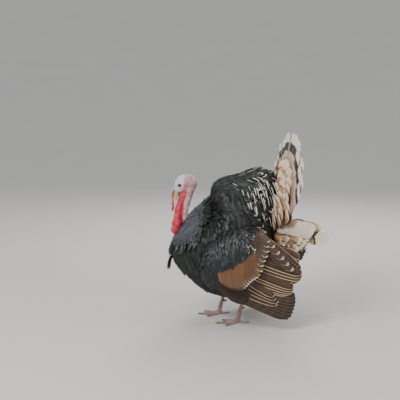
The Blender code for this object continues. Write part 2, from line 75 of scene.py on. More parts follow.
def curveThrough(points, shares):  # points of a smooth curve at shares of its length
    points = np.asarray(points, float)
    reach = np.concatenate([[0], np.cumsum(np.linalg.norm(np.diff(points, axis=0), axis=1))])
    at = np.asarray(shares, float) * reach[-1]
    return np.stack([smoothBetween(at, reach, points[:, k]) for k in range(points.shape[1])], axis=-1)


def chance(count, seed):  # even random numbers from 0 to 1, the same on each run
    return np.random.default_rng(seed).random(count)


def chances(count, *seeds):  # one such row for each seed
    return [chance(count, seed) for seed in seeds]


def even(count):  # even shares from 0 to 1
    return np.linspace(0, 1, count)


def circle(count, whole=2 * math.pi):  # even turns round a circle, the closing one left out
    return np.linspace(0, whole, count, endpoint=False)


def joined(*parts):  # numbers or arrays as the coordinates of one array of vectors
    return np.stack(np.broadcast_arrays(*parts), -1)


def evenPairs(count, start=0.5):
    # Pair k is start + k (0.7549, 0.5698), wrapped: an even fill of the unit square.
    return np.mod(start + np.arange(count)[:, None] * np.array([0.7548776662, 0.569840291]), 1.0)


def spreadOver(surface, uRange, vRange, density, start=0.5, cells=(180, 120)):
    # Even pairs pushed through the running sums of cell area times density: roots spaced as density says.
    u, v = np.linspace(*uRange, cells[0] + 1), np.linspace(*vRange, cells[1] + 1)
    p, n = surface(*np.meshgrid(u, v, indexing="ij"))
    area = np.linalg.norm(np.cross(p[1:, :-1] - p[:-1, :-1], p[:-1, 1:] - p[:-1, :-1]), axis=-1)
    share = area * density(p[:-1, :-1], n[:-1, :-1]) + 1e-12
    pairs = evenPairs(int(share.sum()), start)
    rows = np.concatenate([[0], np.cumsum(share.sum(1))]) / share.sum()
    i = np.clip(np.searchsorted(rows, pairs[:, 0], side="right") - 1, 0, cells[0] - 1)
    inner = np.concatenate([np.zeros((cells[0], 1)), np.cumsum(share, 1)], axis=1)
    inner /= inner[:, -1:]
    line = (inner + np.arange(cells[0])[:, None]).ravel()
    j = np.searchsorted(line, pairs[:, 1] + i, side="right") - 1 - i * (cells[1] + 1)
    j = np.clip(j, 0, cells[1] - 1)
    fu = (pairs[:, 0] - rows[i]) / (rows[i + 1] - rows[i])
    fv = (pairs[:, 1] - inner[i, j]) / (inner[i, j + 1] - inner[i, j])
    return u[i] + np.clip(fu, 0, 1) * (u[1] - u[0]), v[j] + np.clip(fv, 0, 1) * (v[1] - v[0])


def rootsOn(surface, uRange, vRange, density, keep=None, **options):
    # Spread roots for which keep(points, v) holds: their two parameters, points and normals.
    u, v = spreadOver(surface, uRange, vRange, density, **options)
    p, n = surface(u, v)
    kept = keep(p, v) if keep else slice(None)
    return u[kept], v[kept], p[kept], n[kept]


def evenly(spacing):  # one root for each square of this spacing
    return lambda p, n: np.full(p.shape[:2], 1 / spacing**2)


def withNormals(place, inside):
    # Wraps a surface of two parameters: unit normals from central differences, facing away from inside.
    h = 0.01

    def surface(u, v):
        p = place(u, v)
        n = unit(np.cross(place(u + h, v) - place(u - h, v), place(u, v + h) - place(u, v - h)))
        return p, n * np.where(dot(n, p - inside(p)) < 0, -1.0, 1.0)[..., None]
    return surface


def addPiece(name, points, quads, finish, caps=None, uvs=None, marks=None, crease=None, move=True):
    # One mesh object from arrays: quads (n, 4), caps a list of (m, k) arrays, uvs per point.
    mesh = bpy.data.meshes.new(name)
    points = np.asarray(points, float).reshape(-1, 3) - (middle if move else 0)
    groups = [np.asarray(quads).reshape(-1, 4)] + [np.asarray(c) for c in (caps or [])]
    loops = np.concatenate([g.ravel() for g in groups])
    sizes = np.concatenate([np.full(len(g), g.shape[1]) for g in groups])
    starts = np.concatenate([[0], np.cumsum(sizes)[:-1]])
    mesh.vertices.add(len(points))
    mesh.vertices.foreach_set("co", points.astype(np.float32).ravel())
    mesh.loops.add(len(loops))
    mesh.loops.foreach_set("vertex_index", loops.astype(np.int32))
    mesh.polygons.add(len(starts))
    mesh.polygons.foreach_set("loop_start", starts.astype(np.int32))
    mesh.update(calc_edges=True)
    for mapName, uv in (uvs or {}).items():
        layer = mesh.uv_layers.new(name=mapName)
        layer.data.foreach_set("uv", uv[loops].astype(np.float32).ravel())
    for mark, values in (marks or {}).items():
        layer = mesh.attributes.new(mark, "FLOAT", "POINT")
        layer.data.foreach_set("value", np.asarray(values, np.float32))
    mesh.shade_smooth()
    if crease:
        mesh.set_sharp_from_angle(angle=math.radians(crease))
    mesh.materials.append(finish)
    piece = bpy.data.objects.new(name, mesh)
    bpy.context.scene.collection.objects.link(piece)
    return piece


def tubeFaces(rows, columns):  # quads of a closed tube of rings, and a cap for each end
    r, c = np.meshgrid(np.arange(rows - 1), np.arange(columns), indexing="ij")
    d = (c + 1) % columns
    quads = np.stack([r * columns + c, r * columns + d, (r + 1) * columns + d, (r + 1) * columns + c], -1)
    ends = np.array([np.arange(columns)[::-1], (rows - 1) * columns + np.arange(columns)])
    return quads.reshape(-1, 4), ends


def outward(points, quads, caps):  # turns all faces round if the closed shape has a negative volume
    a, b, c, d = (points[quads[:, k]] for k in range(4))
    volume = dot(a, np.cross(b, c)).sum() + dot(a, np.cross(c, d)).sum()
    return (quads, caps) if volume > 0 else (quads[:, ::-1], caps[:, ::-1])


class Shells:
    # Gathers closed tubes of rings into one mesh, with marks and maps per point.
    def __init__(self, name, finish, slot=None, marks=()):
        self.name, self.finish, self.slot = name, finishes[finish], slot or finish
        self.points, self.quads, self.caps, self.count = [], [], [], 0
        self.marks, self.maps, self.crease = {m: [] for m in marks}, {}, None

    def gather(self, points, quads, caps):  # one more shell, its faces numbered on from the last
        self.points.append(points)
        self.quads.append(quads + self.count)
        self.caps.append(caps + self.count)
        self.count += len(points)

    def add(self, rings, **marks):  # a closed tube from a grid of points, one row a ring
        points = rings.reshape(-1, 3)
        self.gather(points, *outward(points - points.mean(0), *tubeFaces(*rings.shape[:2])))
        for mark, values in self.marks.items():
            values.append(np.broadcast_to(marks.get(mark, 0.0), rings.shape[:2]).ravel())

    def build(self, *replaced):  # all shells as one piece, which stands for the replaced solids
        marks, maps = ({k: np.concatenate(v) for k, v in part.items()} for part in (self.marks, self.maps))
        piece = addPiece(self.name, np.concatenate(self.points), np.concatenate(self.quads), self.finish,
                         self.caps, maps, marks, self.crease)
        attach(piece, "root")
        if replaced:
            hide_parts(*replaced)
        print("piece", self.name, len(piece.data.polygons), "faces")


def axesAcross(path, upward):  # unit vectors across a path: to its side, and towards upward
    ahead = unit(np.gradient(path, axis=0))
    side = unit(np.cross(ahead, np.broadcast_to(np.asarray(upward, float), path.shape)))
    return side, np.cross(side, ahead)


def ringsAlong(path, widths, heights, columns, upward=(0, 0, 1)):
    # Oval rings across a path: width times cosine to the side, height times sine towards upward.
    side, top = axesAcross(path, upward)
    turn = circle(columns)[None, :, None]
    wide, tall = (np.broadcast_to(size, len(path))[:, None, None] for size in (widths, heights))
    return path[:, None] + side[:, None] * (np.cos(turn) * wide) + top[:, None] * (np.sin(turn) * tall)


def swelled(rings, lift):  # each ring's points moved away from its middle by lift
    return rings + unit(rings - rings.mean(1, keepdims=True)) * lift[..., None]


class Wire:
    # A node's output that takes part in sums: each operator adds one Math node.
    def __init__(self, paint, socket):
        self.paint, self.socket = paint, socket

    def math(self, operation, *values):
        return self.paint.node("ShaderNodeMath", {"operation": operation}, dict(enumerate(values)))

    __add__ = __radd__ = lambda self, other: self.math("ADD", self, other)
    __mul__ = __rmul__ = lambda self, other: self.math("MULTIPLY", self, other)
    __sub__ = lambda self, other: self.math("SUBTRACT", self, other)
    __rsub__ = lambda self, other: self.math("SUBTRACT", other, self)
    __abs__ = lambda self: self.math("ABSOLUTE", self)
    top = lambda self, other: self.math("MAXIMUM", self, other)
    sine = lambda self: self.math("SINE", self)

    def ramp(self, low, high):  # smooth change from 0 at low to 1 at high
        return self.paint.node("ShaderNodeMapRange", {"interpolation_type": "SMOOTHSTEP"},
                               {"Value": self, "From Min": low, "From Max": high})


class Paint:
    def __init__(self, name):
        self.material = bpy.data.materials.new(name)
        self.material.use_nodes = True
        self.tree = self.material.node_tree
        self.shader = self.tree.nodes["Principled BSDF"]

    def node(self, kind, settings=None, inputs=None, out=0):
        node = self.tree.nodes.new(kind)
        for key, value in (settings or {}).items():
            setattr(node, key, value)
        for key, value in (inputs or {}).items():
            self.feed(node.inputs[key], value)
        return Wire(self, node.outputs[out])

    def feed(self, socket, value):  # links a Wire, sets anything else
        if isinstance(value, Wire):
            self.tree.links.new(value.socket, socket)
        elif isinstance(value, tuple) and socket.type == "RGBA":
            socket.default_value = (*value[:3], 1.0)
        else:
            socket.default_value = value

    def blend(self, factor, a, b):  # from tone a at factor 0 to tone b at 1
        return self.node("ShaderNodeMix", {"data_type": "RGBA"}, {0: factor, 6: a, 7: b}, out=2)

    def over(self, mask, tone):
        self.colour = self.blend(mask, self.colour, tone)

    def mark(self, name):  # the value that the mesh holds per point under this name
        return self.node("ShaderNodeAttribute", {"attribute_name": name}, out="Fac")

    def place(self):
        return self.node("ShaderNodeTexCoord", out="Object")

    def vector(self, x, y, z):
        return self.node("ShaderNodeCombineXYZ", None, {0: x, 1: y, 2: z})

    def noise(self, vector, scale, detail=2.0, rough=0.5):
        return self.node("ShaderNodeTexNoise", None, {"Vector": vector, "Scale": scale, "Detail": detail,
                                                      "Roughness": rough})

    def cells(self, vector, scale):
        return self.node("ShaderNodeTexVoronoi", None, {"Vector": vector, "Scale": scale}, out="Distance")

    def grain(self, stretch, scale, detail=2.0):  # noise drawn out by a Mapping node's scale
        spot = self.node("ShaderNodeMapping", None, {"Vector": self.place(), "Scale": stretch})
        return self.noise(spot, scale, detail)

    def bump(self, height, strength, distance):
        return self.node("ShaderNodeBump", None, {"Height": height, "Strength": strength,
                                                  "Distance": distance})

    def finish(self, **inputs):
        for key, value in {"Base_Color": self.colour, **inputs}.items():
            self.feed(self.shader.inputs[key.replace("_", " ")], value)
        return self.material


def toned(colour, share):  # a colour times share, no channel above 1
    return tuple(min(1, c * share) for c in colour)


def featherNumbers(paint):
    # Across and along from the feather's own map, distance from the shaft (0 to 1), the feather's own
    # number, and fine barbs that slant away from the shaft.
    u = paint.node("ShaderNodeSeparateXYZ", None, {0: paint.node("ShaderNodeUVMap", {"uv_map": "vane"})})
    v = Wire(paint, u.socket.node.outputs[1])
    off = abs(u - 0.5) * 2
    seed = paint.mark("shade")
    slant = v * 9 - off * 3.2
    barbs = paint.noise(paint.vector(slant * 2.4, u * 1.3, seed * 31), 3.0, 3.0, 0.65)
    return u, v, off, seed, barbs


def bodyFinish(name, dark, light, paintedSheen, tint, gloss):
    # Dark vane with barbs; some feathers carry a painted grey sheen; marks add slate, brown, a pale rim and a
    # pale end.
    paint = Paint(name)
    u, v, off, seed, barbs = featherNumbers(paint)
    pale, slate, brown, tip = (paint.mark(m) for m in ("pale", "slate", "brown", "tip"))
    broad = paint.noise(paint.place(), 9.0)
    streak = paint.noise(paint.vector(u * 9, v * 0.9, seed * 37), 2.0)
    paint.colour = paint.blend(streak.ramp(0.35, 0.75), dark, light)
    # painted sheen: greyer streaks on some feathers, standing in for the gloss of the vanes
    paint.over(seed.ramp(0.62, 1.0) * streak.ramp(0.3, 0.62), paintedSheen)
    paint.over(broad.ramp(0.42, 0.68) * 0.5, tint)
    paint.over(slate, paint.blend(barbs * 0.4 + streak * 0.6, (0.03, 0.035, 0.046), (0.135, 0.146, 0.175)))
    paint.over(brown, paint.blend(barbs * 0.5 + seed * 0.5, (0.03, 0.021, 0.015), (0.13, 0.092, 0.066)))
    rim = v.ramp(0.9, 0.97).top(off.ramp(0.78, 0.96) * v.ramp(0.35, 0.75))
    paint.over(rim * 0.25 * (1 - slate), (0.075, 0.08, 0.08))
    end = v.ramp(0.84, 0.92).top(off.ramp(0.55, 0.8) * v.ramp(0.45, 0.7))
    white = (end * pale).top(v.ramp(0.46, 0.54) * tip)
    paint.over(white, paint.blend(barbs, (0.62, 0.58, 0.52), (0.86, 0.84, 0.79)))
    return paint.finish(Roughness=gloss + barbs * 0.2 + white * 0.25 + slate * 0.1,
                        Metallic=(1 - white) * (1 - slate) * 0.2,
                        Normal=paint.bump(barbs * 0.6 + streak * 0.6, 0.45, 0.0012))


def flightFinish(name, dark, light, edge, edgeWidth, tipFrom, bars=0.0, deeper=0.09, soft=0.018, dusky=1.0):
    # Brown flight feather: barbs across the vane, a pale outer edge that runs round the tip.
    paint = Paint(name)
    u, v, off, seed, barbs = featherNumbers(paint)
    pale, brown, tip = (paint.mark(m) for m in ("pale", "brown", "tip"))
    streak = paint.noise(paint.vector(u * 9, v * 1.3, seed * 17), 2.0, 3.0)
    paint.colour = paint.blend(barbs * 0.45 + streak.ramp(0.3, 0.7) * 0.35 + seed * 0.2, dark, light)
    cross = (v * 56 + off * 4).sine().ramp(0.2, 0.95) * off.ramp(0.15, 0.6)
    paint.over(cross * bars, edge)
    brownTones = [toned(tone, dusky) for tone in ((0.03, 0.019, 0.014), (0.11, 0.07, 0.05))]
    paint.over(brown * 0.85, paint.blend(barbs * 0.5 + streak * 0.5, *brownTones))
    paint.over(u.ramp(0.42, 0.6) * 0.35, (0.03, 0.021, 0.017))  # the half below the shaft is duskier
    reach = v + tip * deeper
    late = (v - (tip + brown * 0.3) * 0.62).ramp(-0.02, 0.16)  # marks keep the side edge to the end
    dusk = u.ramp(1 - edgeWidth * 2.0, 1 - edgeWidth) * late
    paint.over(dusk.top(reach.ramp(tipFrom - 0.07, tipFrom - 0.005)) * 0.7, (0.026, 0.019, 0.015))
    rim = (u.ramp(1 - edgeWidth, 1 - edgeWidth * 0.6) * late).top(reach.ramp(tipFrom, tipFrom + soft))
    rim = rim.top(off.ramp(1 - edgeWidth * 1.6, 1 - edgeWidth) * paint.mark("slate"))
    paint.over(rim * pale, paint.blend(barbs, edge, toned(edge, 1.25)))
    shaft = off.ramp(0.06, 0.025)
    paint.over(shaft * 0.45, (0.2, 0.14, 0.1))
    return paint.finish(Roughness=0.46 + barbs * 0.25, Specular_IOR_Level=0.3,
                        Normal=paint.bump(barbs * 0.8 + shaft * 0.8 + streak * 0.4, 0.5, 0.001))


def tailFinish(name):
    # Tail feather: fine wavy tan and brown bars, a plain tan zone, a black band with a sheen, a cream tip.
    paint = Paint(name)
    u, v, off, seed, barbs = featherNumbers(paint)
    wave = paint.noise(paint.vector(u * 3.1, v * 5.0, seed * 23), 3.0, 3.0)
    bars = ((v * 19 + wave * 1.5 + off * 0.5) * 6.283).sine()
    paint.colour = paint.blend(barbs, (0.42, 0.265, 0.18), (0.66, 0.48, 0.37))
    paint.over(bars.ramp(0.05, 0.75) * 0.62, (0.1, 0.058, 0.036))
    paint.over(v.ramp(0.72, 0.765), paint.blend(barbs, (0.58, 0.42, 0.31), (0.74, 0.58, 0.46)))
    edge = v + off * off * 0.018 + wave * 0.018
    long = paint.mark("pale")  # a longer pale end
    black = paint.blend(barbs, (0.012, 0.016, 0.015), (0.045, 0.05, 0.044))
    paint.over((edge + long * 0.064).ramp(0.815, 0.826), black)
    cream = paint.blend(barbs, (0.86, 0.78, 0.63), (0.96, 0.91, 0.79))
    paint.over((edge + long * 0.1).ramp(0.905, 0.917), cream)
    shaft = off.ramp(0.06, 0.025)
    paint.over(shaft * 0.55, (0.55, 0.42, 0.3))
    return paint.finish(Roughness=0.46 + barbs * 0.22, Normal=paint.bump(barbs + shaft * 0.9, 0.5, 0.0012))


def tailCovertFinish(name):
    # Covert: brown barred base, orange-tan middle, a thin dark band and a broad cream end; the pale ones get
    # a painted shade round the rim of the end.
    paint = Paint(name)
    u, v, off, seed, barbs = featherNumbers(paint)
    pale, brown = paint.mark("pale"), paint.mark("brown")
    wave = paint.noise(paint.vector(u * 3.0, v * 4.0, seed * 19), 2.5)
    streak = paint.noise(paint.vector(u * 8, v * 1.0, seed * 29), 2.0)
    bars = ((v * 13 + wave * 1.3) * 6.283).sine().ramp(0.1, 0.8)
    paint.colour = paint.blend(barbs * 0.5 + seed * 0.5, (0.4, 0.18, 0.065), (0.7, 0.42, 0.21))
    paint.over(bars * v.ramp(0.66, 0.48) * 0.6, (0.08, 0.045, 0.028))
    edge = v + off * off * 0.1 + wave * 0.07 - seed * 0.05
    band = edge.ramp(0.715, 0.745) * edge.ramp(0.805, 0.775) * (seed.ramp(0.45, 0.75) * 0.7)
    paint.over(band, (0.06, 0.04, 0.028))
    cream = paint.blend(barbs * 0.6 + seed * 0.4, (0.74, 0.61, 0.44), (0.94, 0.87, 0.72))
    paint.over(edge.ramp(0.78, 0.85), cream)
    blush = paint.blend(barbs * 0.4 + streak * 0.6, (0.68, 0.54, 0.44), (0.93, 0.86, 0.74))
    blush = paint.blend(edge.ramp(0.84, 0.9), blush, cream)
    # painted shade round the rim of the end, for the shadow where the coverts overlap
    blush = paint.blend(edge.ramp(1.02, 1.1) * 0.5, blush, (0.3, 0.22, 0.18))
    paint.over(pale * 0.92, blush)
    paint.over(brown * v.ramp(0.9, 0.7), paint.blend(barbs, (0.07, 0.045, 0.03), (0.19, 0.125, 0.085)))
    shaft = off.ramp(0.07, 0.03)
    paint.over(shaft * 0.35, (0.6, 0.48, 0.36))
    return paint.finish(Roughness=0.55 + barbs * 0.2,
                        Normal=paint.bump(barbs * 0.7 + shaft * 0.7 + streak * 0.5, 0.5, 0.0012))


def skinFinish(name):
    # Bare skin in three colours, by marks: blue-white face, red throat, pink nape; painted near-black shade
    # where it lies under the feathers.
    paint = Paint(name)
    spot = paint.place()
    fine = paint.noise(spot, 420.0, 3.0, 0.6)
    pebble = paint.cells(spot, 380.0)
    cloud = paint.noise(spot, 62.0, 3.0, 0.6)
    blot = (paint.noise(spot, 170.0, 3.0, 0.6) - 0.5) * 1.1  # frays the borders between the colours
    narrow = cloud.ramp(0.3, 0.7)
    mauve = paint.blend(narrow, (0.42, 0.19, 0.24), (0.62, 0.38, 0.42))
    red = paint.blend(narrow, (0.43, 0.011, 0.036), (0.725, 0.058, 0.105))
    face = paint.blend(cloud, (0.43, 0.5, 0.62), (0.68, 0.71, 0.79))
    paint.colour = paint.blend(cloud.ramp(0.35, 0.65), (0.56, 0.37, 0.38), (0.72, 0.58, 0.57))
    paint.over((paint.mark("mauve") + blot * 0.6).ramp(0.1, 0.9), mauve)
    paint.over((paint.mark("red") + blot * 0.7).ramp(0.2, 0.8), red)
    paint.over((paint.mark("blue") + blot * 0.7).ramp(0.15, 0.85), face)
    # painted shade, deep red, in the hollows between caruncles
    paint.over(paint.mark("valley") * 0.4, (0.24, 0.05, 0.06))
    # painted shade in the low seams between the pebbles
    paint.over(pebble.ramp(0.45, 0.9) * 0.18, (0.36, 0.16, 0.18))
    # painted shade in the eye's socket, the ear's opening and the mouth
    paint.over(paint.mark("dusk"), (0.03, 0.022, 0.022))
    # painted shade: skin hidden under the feathers is near black, so gaps in the coat look shadowed
    paint.over(1 - paint.mark("bare"), (0.018, 0.018, 0.017))
    return paint.finish(Roughness=0.4 + fine * 0.2, Subsurface_Weight=0.06,
                        Subsurface_Radius=(0.01, 0.003, 0.002), Subsurface_Scale=0.5,
                        Normal=paint.bump(fine * 0.6 - pebble * 0.9, 0.45, 0.0008))


def hornFinish(name, root, tip, streak):
    # Horn from the root's to the tip's colour, with long streaks and a few clouds.
    paint = Paint(name)
    grain = paint.grain((60, 60, 260), 3.0, 3.0)
    paint.colour = paint.blend(paint.mark("tip"), root, tip)
    paint.over(grain.ramp(0.5, 0.75) * 0.5, streak)
    paint.over(paint.noise(paint.place(), 120.0).ramp(0.55, 0.8) * 0.3, streak)
    return paint.finish(Roughness=0.3 + grain * 0.22, Normal=paint.bump(grain, 0.35, 0.0006))


def legFinish(name):
    # Leg scales are in the mesh; the colour is pinkish brown, paler on the plates, with painted shade in the
    # grooves between them.
    paint = Paint(name)
    spot = paint.place()
    cloud = paint.noise(spot, 48.0, 3.0)
    pebble = paint.cells(spot, 420.0)
    paint.colour = paint.blend(cloud.ramp(0.3, 0.7), (0.3, 0.185, 0.16), (0.47, 0.33, 0.29))
    # painted shade in the grooves between plates, and a little over the pebbled back of the shank
    paint.over(paint.mark("groove") * 0.75, (0.085, 0.055, 0.048))
    # painted shade in the low seams between the pebbles
    paint.over(pebble.ramp(0.35, 0.8) * 0.35, (0.15, 0.095, 0.085))
    paint.over(paint.mark("sole"), (0.24, 0.18, 0.14))
    return paint.finish(Roughness=0.45 + cloud * 0.2, Normal=paint.bump(pebble * -1.0, 0.5, 0.0008))


def eyeFinish(name):
    # Rings by distance from the pupil's middle, which the mark reach holds.
    paint = Paint(name)
    reach = paint.mark("reach")
    paint.colour = paint.blend(paint.noise(paint.place(), 900.0), (0.022, 0.011, 0.007), (0.07, 0.034, 0.017))
    paint.over(reach.ramp(0.4, 0.36), (0.002, 0.002, 0.002))
    paint.over(reach.ramp(0.74, 0.82), (0.11, 0.085, 0.08))
    return paint.finish(Roughness=0.05, Coat_Weight=1.0, Coat_Roughness=0.02)


def bristleFinish(name):
    # Black with fine brown streaks along the bristles.
    paint = Paint(name)
    streak = paint.grain((9, 9, 1), 60.0)
    paint.colour = paint.blend(streak.ramp(0.35, 0.7), (0.008, 0.007, 0.006), (0.05, 0.042, 0.036))
    return paint.finish(Roughness=0.42 + streak * 0.2, Normal=paint.bump(streak, 0.4, 0.0005))


finishes = {
    # the third tone of each body finish is its painted grey sheen
    "body": bodyFinish("blackBodyFeather", (0.003, 0.004, 0.004), (0.02, 0.025, 0.024),
                       (0.06, 0.068, 0.072), (0.008, 0.022, 0.017), 0.33),
    "shoulder": bodyFinish("shoulderFeather", (0.005, 0.006, 0.007), (0.028, 0.033, 0.037),
                           (0.085, 0.096, 0.106), (0.012, 0.022, 0.027), 0.3),
    "down": bodyFinish("softBrownFeather", (0.012, 0.01, 0.009), (0.05, 0.041, 0.034),
                       (0.16, 0.135, 0.11), (0.085, 0.066, 0.052), 0.6),
    "flight": flightFinish("secondaryFeather", (0.038, 0.021, 0.012), (0.12, 0.069, 0.04),
                           (0.58, 0.43, 0.255), 0.085, 0.975),
    "tertial": flightFinish("tertialFeather", (0.05, 0.03, 0.02), (0.13, 0.082, 0.056),
                            (0.48, 0.34, 0.26), 0.06, 0.86, deeper=0.0, soft=0.09),
    "quill": flightFinish("primaryFeather", (0.022, 0.015, 0.011), (0.068, 0.045, 0.031),
                          (0.4, 0.3, 0.21), 0.045, 0.988, bars=0.1, dusky=0.4),
    "copper": flightFinish("copperCovert", (0.135, 0.054, 0.021), (0.38, 0.18, 0.08),
                           (0.64, 0.55, 0.43), 0.09, 0.95, deeper=0.0),
    "fan": tailFinish("barredTailFeather"),
    "covert": tailCovertFinish("creamTailCovert"),
    "skin": skinFinish("bareSkin"),
    "horn": hornFinish("billHorn", (0.3, 0.2, 0.11), (0.64, 0.5, 0.3), (0.18, 0.11, 0.06)),
    "claw": hornFinish("clawHorn", (0.15, 0.11, 0.085), (0.07, 0.055, 0.046), (0.26, 0.2, 0.15)),
    "scale": legFinish("legScale"),
    "eye": eyeFinish("darkEye"),
    "bristle": bristleFinish("beardBristle"),
}
print("finishes made")


trunk = {
    "centre": (0.02, 0.36), "halfWidth": 0.185,
    "outline": {0: 0.212, 27: 0.24, 49: 0.3, 62: 0.27, 78: 0.238, 104: 0.206, 122: 0.147, 142: 0.148,
                163: 0.168, 188: 0.209, 201: 0.241, 213: 0.247, 227: 0.243, 245: 0.257, 266: 0.275,
                286: 0.28, 303: 0.264, 320: 0.243, 339: 0.22},
    "coat": 0.017,       # depth of the feathers over the skin
    "collarCoat": 0.006,
    # x and z along the lower edge of the collar
    "crease": ((-0.215, -0.2, -0.15, -0.12, -0.094, -0.078, -0.058, -0.035, 0.0),
               (0.285, 0.308, 0.342, 0.366, 0.405, 0.462, 0.512, 0.565, 0.8)),
}


def trunkPoint(direction, across):
    # The side outline's reach at a direction in degrees, shrunk by the cosine of across to each flank.
    knots, values = zip(*trunk["outline"].items())
    reach = smoothBetween(np.mod(direction, 360), knots, values, 360)
    a, b = np.radians(direction), np.radians(across)
    x = trunk["centre"][0] + reach * np.cos(a) * np.cos(b)
    z = trunk["centre"][1] + reach * np.sin(a) * np.cos(b)
    fullness = smoothBetween(z, [0.05, 0.2, 0.36, 0.52, 0.68], [0.8, 0.98, 1.0, 0.86, 0.6])
    chest = 1 - 0.16 * np.clip((-0.05 - x) / 0.16, 0, 1)
    rump = 1 - 0.3 * np.clip((x - 0.06) / 0.16, 0, 1)
    return np.stack([x, trunk["halfWidth"] * np.sin(b) * fullness * chest * rump, z], axis=-1)


def collarShare(p):  # 1 on the smooth slate collar, 0 below its crease
    line = smoothBetween(p[..., 0], *trunk["crease"])
    return step(p[..., 2] - line, -0.004, 0.01) * step(p[..., 0], 0.0, -0.03)


bodyMiddle = np.array([trunk["centre"][0], 0, trunk["centre"][1]])
trunkTop = withNormals(trunkPoint, lambda p: bodyMiddle * (1, 0, 1) + p * (0, 0.2, 0))


def trunkSkin(direction, across):  # the trunk's surface, let in by the depth of the feathers there
    p, n = trunkTop(direction, across)
    depth = trunk["coat"] + (trunk["collarCoat"] - trunk["coat"]) * collarShare(p)
    return p - n * depth[..., None], n


shield = {
    "centre": (0.035, 0.148, 0.292), "tilt": 42.0, "half": (0.15, 0.112), "lateral": 0.072, "coat": 0.011,
    # x and z along the copper band's upper edge
    "edge": ((-0.1, -0.065, -0.031, -0.003, 0.039, 0.08, 0.104, 0.125, 0.133, 0.145),
             (0.1, 0.15, 0.218, 0.234, 0.257, 0.274, 0.288, 0.302, 0.335, 0.42)),
}


def shieldPoint(side, inset=0.0):
    # An ellipsoid: long and cross axes in the side plane, bulging forwards and down; b is the lift outwards.
    tilt = math.radians(shield["tilt"])
    longAxis = np.array([math.cos(tilt), 0, math.sin(tilt)])
    crossAxis = np.array([-math.sin(tilt), 0, math.cos(tilt)])
    centre = np.array(shield["centre"]) * (1, side, 1)

    def place(turn, b):
        t, level = np.radians(turn), np.radians(b)
        reach = 1 + 0.1 * np.cos(t - math.radians(215)) ** 3
        return (centre + np.array([0, side, 0]) * ((shield["lateral"] - inset) * np.sin(level))[..., None]
                + longAxis * ((shield["half"][0] - inset) * np.cos(level) * reach * np.cos(t))[..., None]
                + crossAxis * ((shield["half"][1] - inset) * np.cos(level) * reach * np.sin(t))[..., None])
    return withNormals(place, lambda p: centre)


feet = {"left": 0.06, "right": 0.007, "y": 0.07}  # x of each ankle, and how far both stand out


def ankleOf(side):  # where the toes leave the shank
    return np.array([feet[side], sides[side] * feet["y"], 0.016])


def hockOf(side):  # behind and above the ankle, a little nearer the middle
    return ankleOf(side) + np.array([0.036, -sides[side] * 0.004, 0.128])


def tubePoint(path, radii, upward, inset, tall=1.0):
    # A surface along a path: share of its length, and turn in degrees.
    fine = curveThrough(path, even(60))
    side, top = axesAcross(fine, upward)
    knots = even(len(radii))

    def place(s, turn):
        s = np.clip(s, 0, 1)
        at = lambda line: np.stack([np.interp(s, even(60), line[:, k]) for k in range(3)], -1)
        r = np.maximum(np.interp(s, knots, radii) - inset, 0.0015)[..., None]
        t = np.radians(turn)[..., None]
        return at(fine) + r * (at(side) * np.cos(t) + at(top) * tall * np.sin(t))

    def inside(p):
        return fine[::4][np.argmin(np.linalg.norm(p[..., None, :] - fine[::4], axis=-1), axis=-1)]
    return withNormals(place, inside)


def thighSurface(side, inset):  # a tube that narrows from inside the flank to below the hock
    path = hockOf(side) + [(-0.02, 0, 0.09), (-0.008, 0, 0.03), (-0.006, 0, -0.025), (-0.014, 0, -0.056)]
    return tubePoint(path, [0.046, 0.052, 0.05, 0.044, 0.036, 0.028, 0.021, 0.013], (-1, 0, 0), inset)


def undertailSurface(inset):
    # The radius along it is a half ellipse that gets narrower towards the tail.
    path = [(0.165, 0, 0.262), (0.215, 0, 0.262), (0.265, 0, 0.272), (0.31, 0, 0.29)]
    t = even(9)
    radii = 0.082 * np.sqrt(np.clip(1 - (2 * t - 1) ** 2 * 0.97, 0, 1)) * (1.1 - 0.35 * t)
    return tubePoint(path, radii * 1.05, (0, 0, 1), inset, tall=0.78)


# Head, neck and wattle are one bare skin, found level by level from fields.
head = {
    "centre": (-0.152, 0.546), "pitch": 72.0,
    "neckZ": (0.345, 0.395, 0.43, 0.462, 0.492, 0.52, 0.544, 0.566),
    "neckX": (-0.1, -0.141, -0.146, -0.139, -0.131, -0.126, -0.126, -0.132),
    "neckRadius": (0.014, 0.015, 0.016, 0.0172, 0.0195, 0.0225, 0.0235, 0.019),
    "wattleZ": (0.348, 0.356, 0.372, 0.386, 0.42, 0.455, 0.488, 0.512, 0.53),
    "wattleX": (-0.18, -0.179, -0.175, -0.1715, -0.168, -0.1625, -0.1515, -0.1435, -0.14),
    "wattleWidth": (0.002, 0.012, 0.0185, 0.0205, 0.0185, 0.0185, 0.0185, 0.017, 0.012),
    "wattleDepth": (0.002, 0.01, 0.015, 0.0165, 0.014, 0.013, 0.0118, 0.01, 0.0075),
    "middleZ": (0.35, 0.39, 0.42, 0.46, 0.5, 0.54, 0.565, 0.583),
    "middleX": (-0.179, -0.171, -0.16, -0.15, -0.143, -0.14, -0.136, -0.129),
    "low": 0.3495, "rows": 250, "columns": 216,
}
pitch = math.radians(head["pitch"])
headOrigin = np.array([head["centre"][0], 0, head["centre"][1]])
ahead = np.array([-math.cos(pitch), 0, -math.sin(pitch)])   # the way the bill points
crown = np.array([-math.sin(pitch), 0, math.cos(pitch)])    # the way the top of the head points


def softMin(a, b, k):  # the smaller of two fields, rounded where they meet within k
    h = np.clip(0.5 + 0.5 * (b - a) / k, 0, 1)
    return b + (a - b) * h - k * h * (1 - h)


def eggField(s, c, y, centre, radii):  # signed distance, nearly, to an ellipsoid in head coordinates
    q = np.stack([(s - centre[0]) / radii[0], (c - centre[1]) / radii[1], (y - centre[2]) / radii[2]])
    k0 = np.sqrt((q**2).sum(0))
    k1 = np.sqrt(((q / np.array(radii)[:, None, None]) ** 2).sum(0))
    return k0 * (k0 - 1) / np.maximum(k1, 1e-6)


